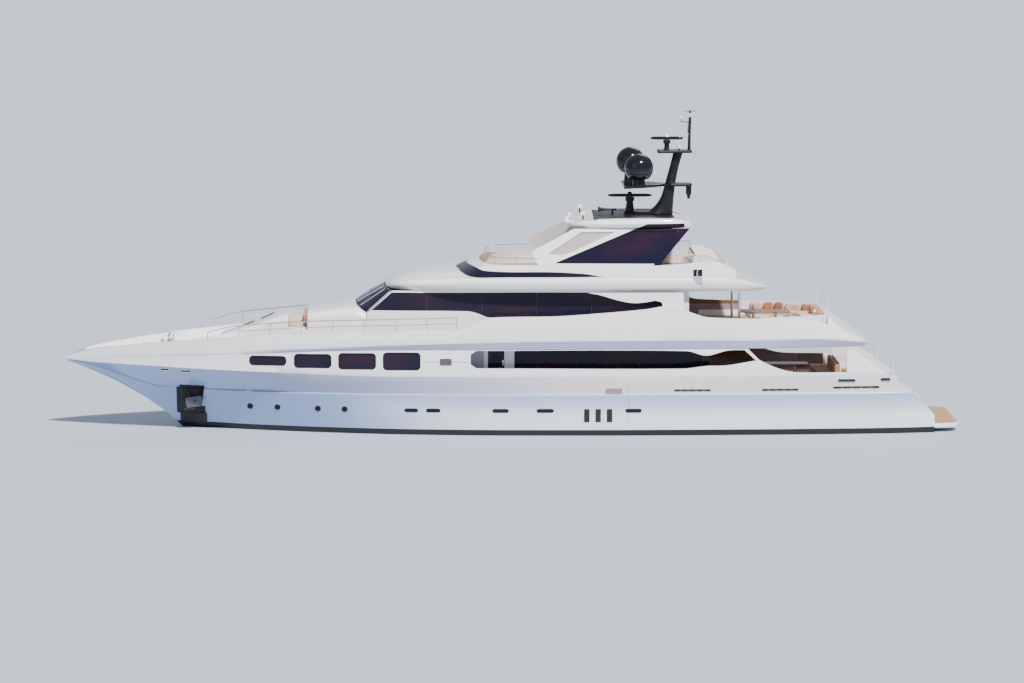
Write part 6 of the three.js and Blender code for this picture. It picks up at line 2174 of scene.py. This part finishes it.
# Lamps on the coaming, whip aerials on the quarters and the engines below
lampBox = {"x": (-9.62, -9.15), "z": (8.1, 8.46), "seat": (3.7, 7.76, 8.12)}
whips = ((-16.1, 3.1, 5.6, 7.4), (-19.4, 3.75, 3.05, 4.2))


def makeSideLamps():
    x0, x1 = lampBox["x"]
    z0, z1 = lampBox["z"]
    rings = [[p for p in coamingRing(lean) if p[1] > 0 and p[0] < -5] for lean in (0, 1)]
    low, high = ([straightReader(sorted(ring))(x) for x in (x0, x1)] for ring in rings)

    def at(x, z):
        along = (x - x0) / (x1 - x0)
        up = (z - coaming["foot"]) / (coaming["head"] - coaming["foot"])
        foot, head = (pair[0] + (pair[1] - pair[0]) * along for pair in (low, high))
        return foot + (head - foot) * up

    rings = [[(x, at(x, z) + out, z) for x, z in oblong(x0, x1, z0, z1)] for out in (-0.03, 0.006)]
    dressPair(loft(rings), "side_lamp_back", "black")
    x = (x0 + x1) / 2
    inner, under, over = lampBox["seat"]
    seat = roundBox(x0, x1, inner, float(roofAt(x)[1]) + 0.012, under, over, 0.02, 2)
    dressPair(seat, "side_lamp_seat", "side")
    profile = [(0.0, 0.04), (0.02, 0.05), (0.12, 0.05), (0.14, 0.03), (0.145, 0.001)]
    lamp = turned(profile, (x, at(x, z0 + 0.1) + 0.01, z0 + 0.03), sides=16)
    dress(mirrored(lamp), "starboard_lamp", "green")
    dress(lamp, "port_lamp", "red")


def makeWhips():
    parts = []
    for x, y, z0, z1 in whips:
        bend = ((0, 0), (0, 0.3), (0.02, 0.6), (0.06, 1))
        line = [(x - back, y, z0 + (z1 - z0) * share) for back, share in bend]
        parts.append(tube(line, [0.03, 0.024, 0.014, 0.008], 8))
        parts.append(turned([(0, 0.05), (0.03, 0.05), (0.1, 0.035)], (x, y, z0), sides=12))
    dressPair(parts, "whip_aerials", "white")


engines = {"y": (1.5, -1.5), "x": (-9.38, -5.42), "first": -8.9, "pitch": 0.6, "heads": 6}


def makeEngines():
    parts = []
    for y in engines["y"]:
        parts.append(roundBox(*engines["x"], y - 0.5, y + 0.5, -0.98, 0.1, 0.06, 3))
        for i in range(engines["heads"]):
            x = engines["first"] + i * engines["pitch"]
            for bank in ((y + 0.1, y + 0.62), (y - 0.62, y - 0.1)):
                parts.append(roundBox(x - 0.24, x + 0.24, *bank, 0.0, 0.75, 0.05, 2))
        parts.append(roundBox(-9.2, -5.7, y - 0.16, y + 0.16, 0.5, 1.1, 0.07, 3))
        for out in (0.55, -0.55):
            bow = y + out + math.copysign(0.05, out)
            parts.append(tube([(-9.2, y + out, 0.85), (-7.5, bow, 0.95), (-5.6, y + out, 0.85)], 0.1, 14))
    parts.append(roundBox(-8.6, -6.2, -0.9, 0.9, -0.99, -0.8, 0.03, 2))
    dress(parts, "main_engines", "engine", stands="engines")


makeSideFittings()
makeSideLamps()
makeWhips()
makeEngines()
print("side fittings made")

boxes = {"cad": cadBox, "visual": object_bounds()}
{name: [list(corner) for corner in corners] for name, corners in boxes.items()}
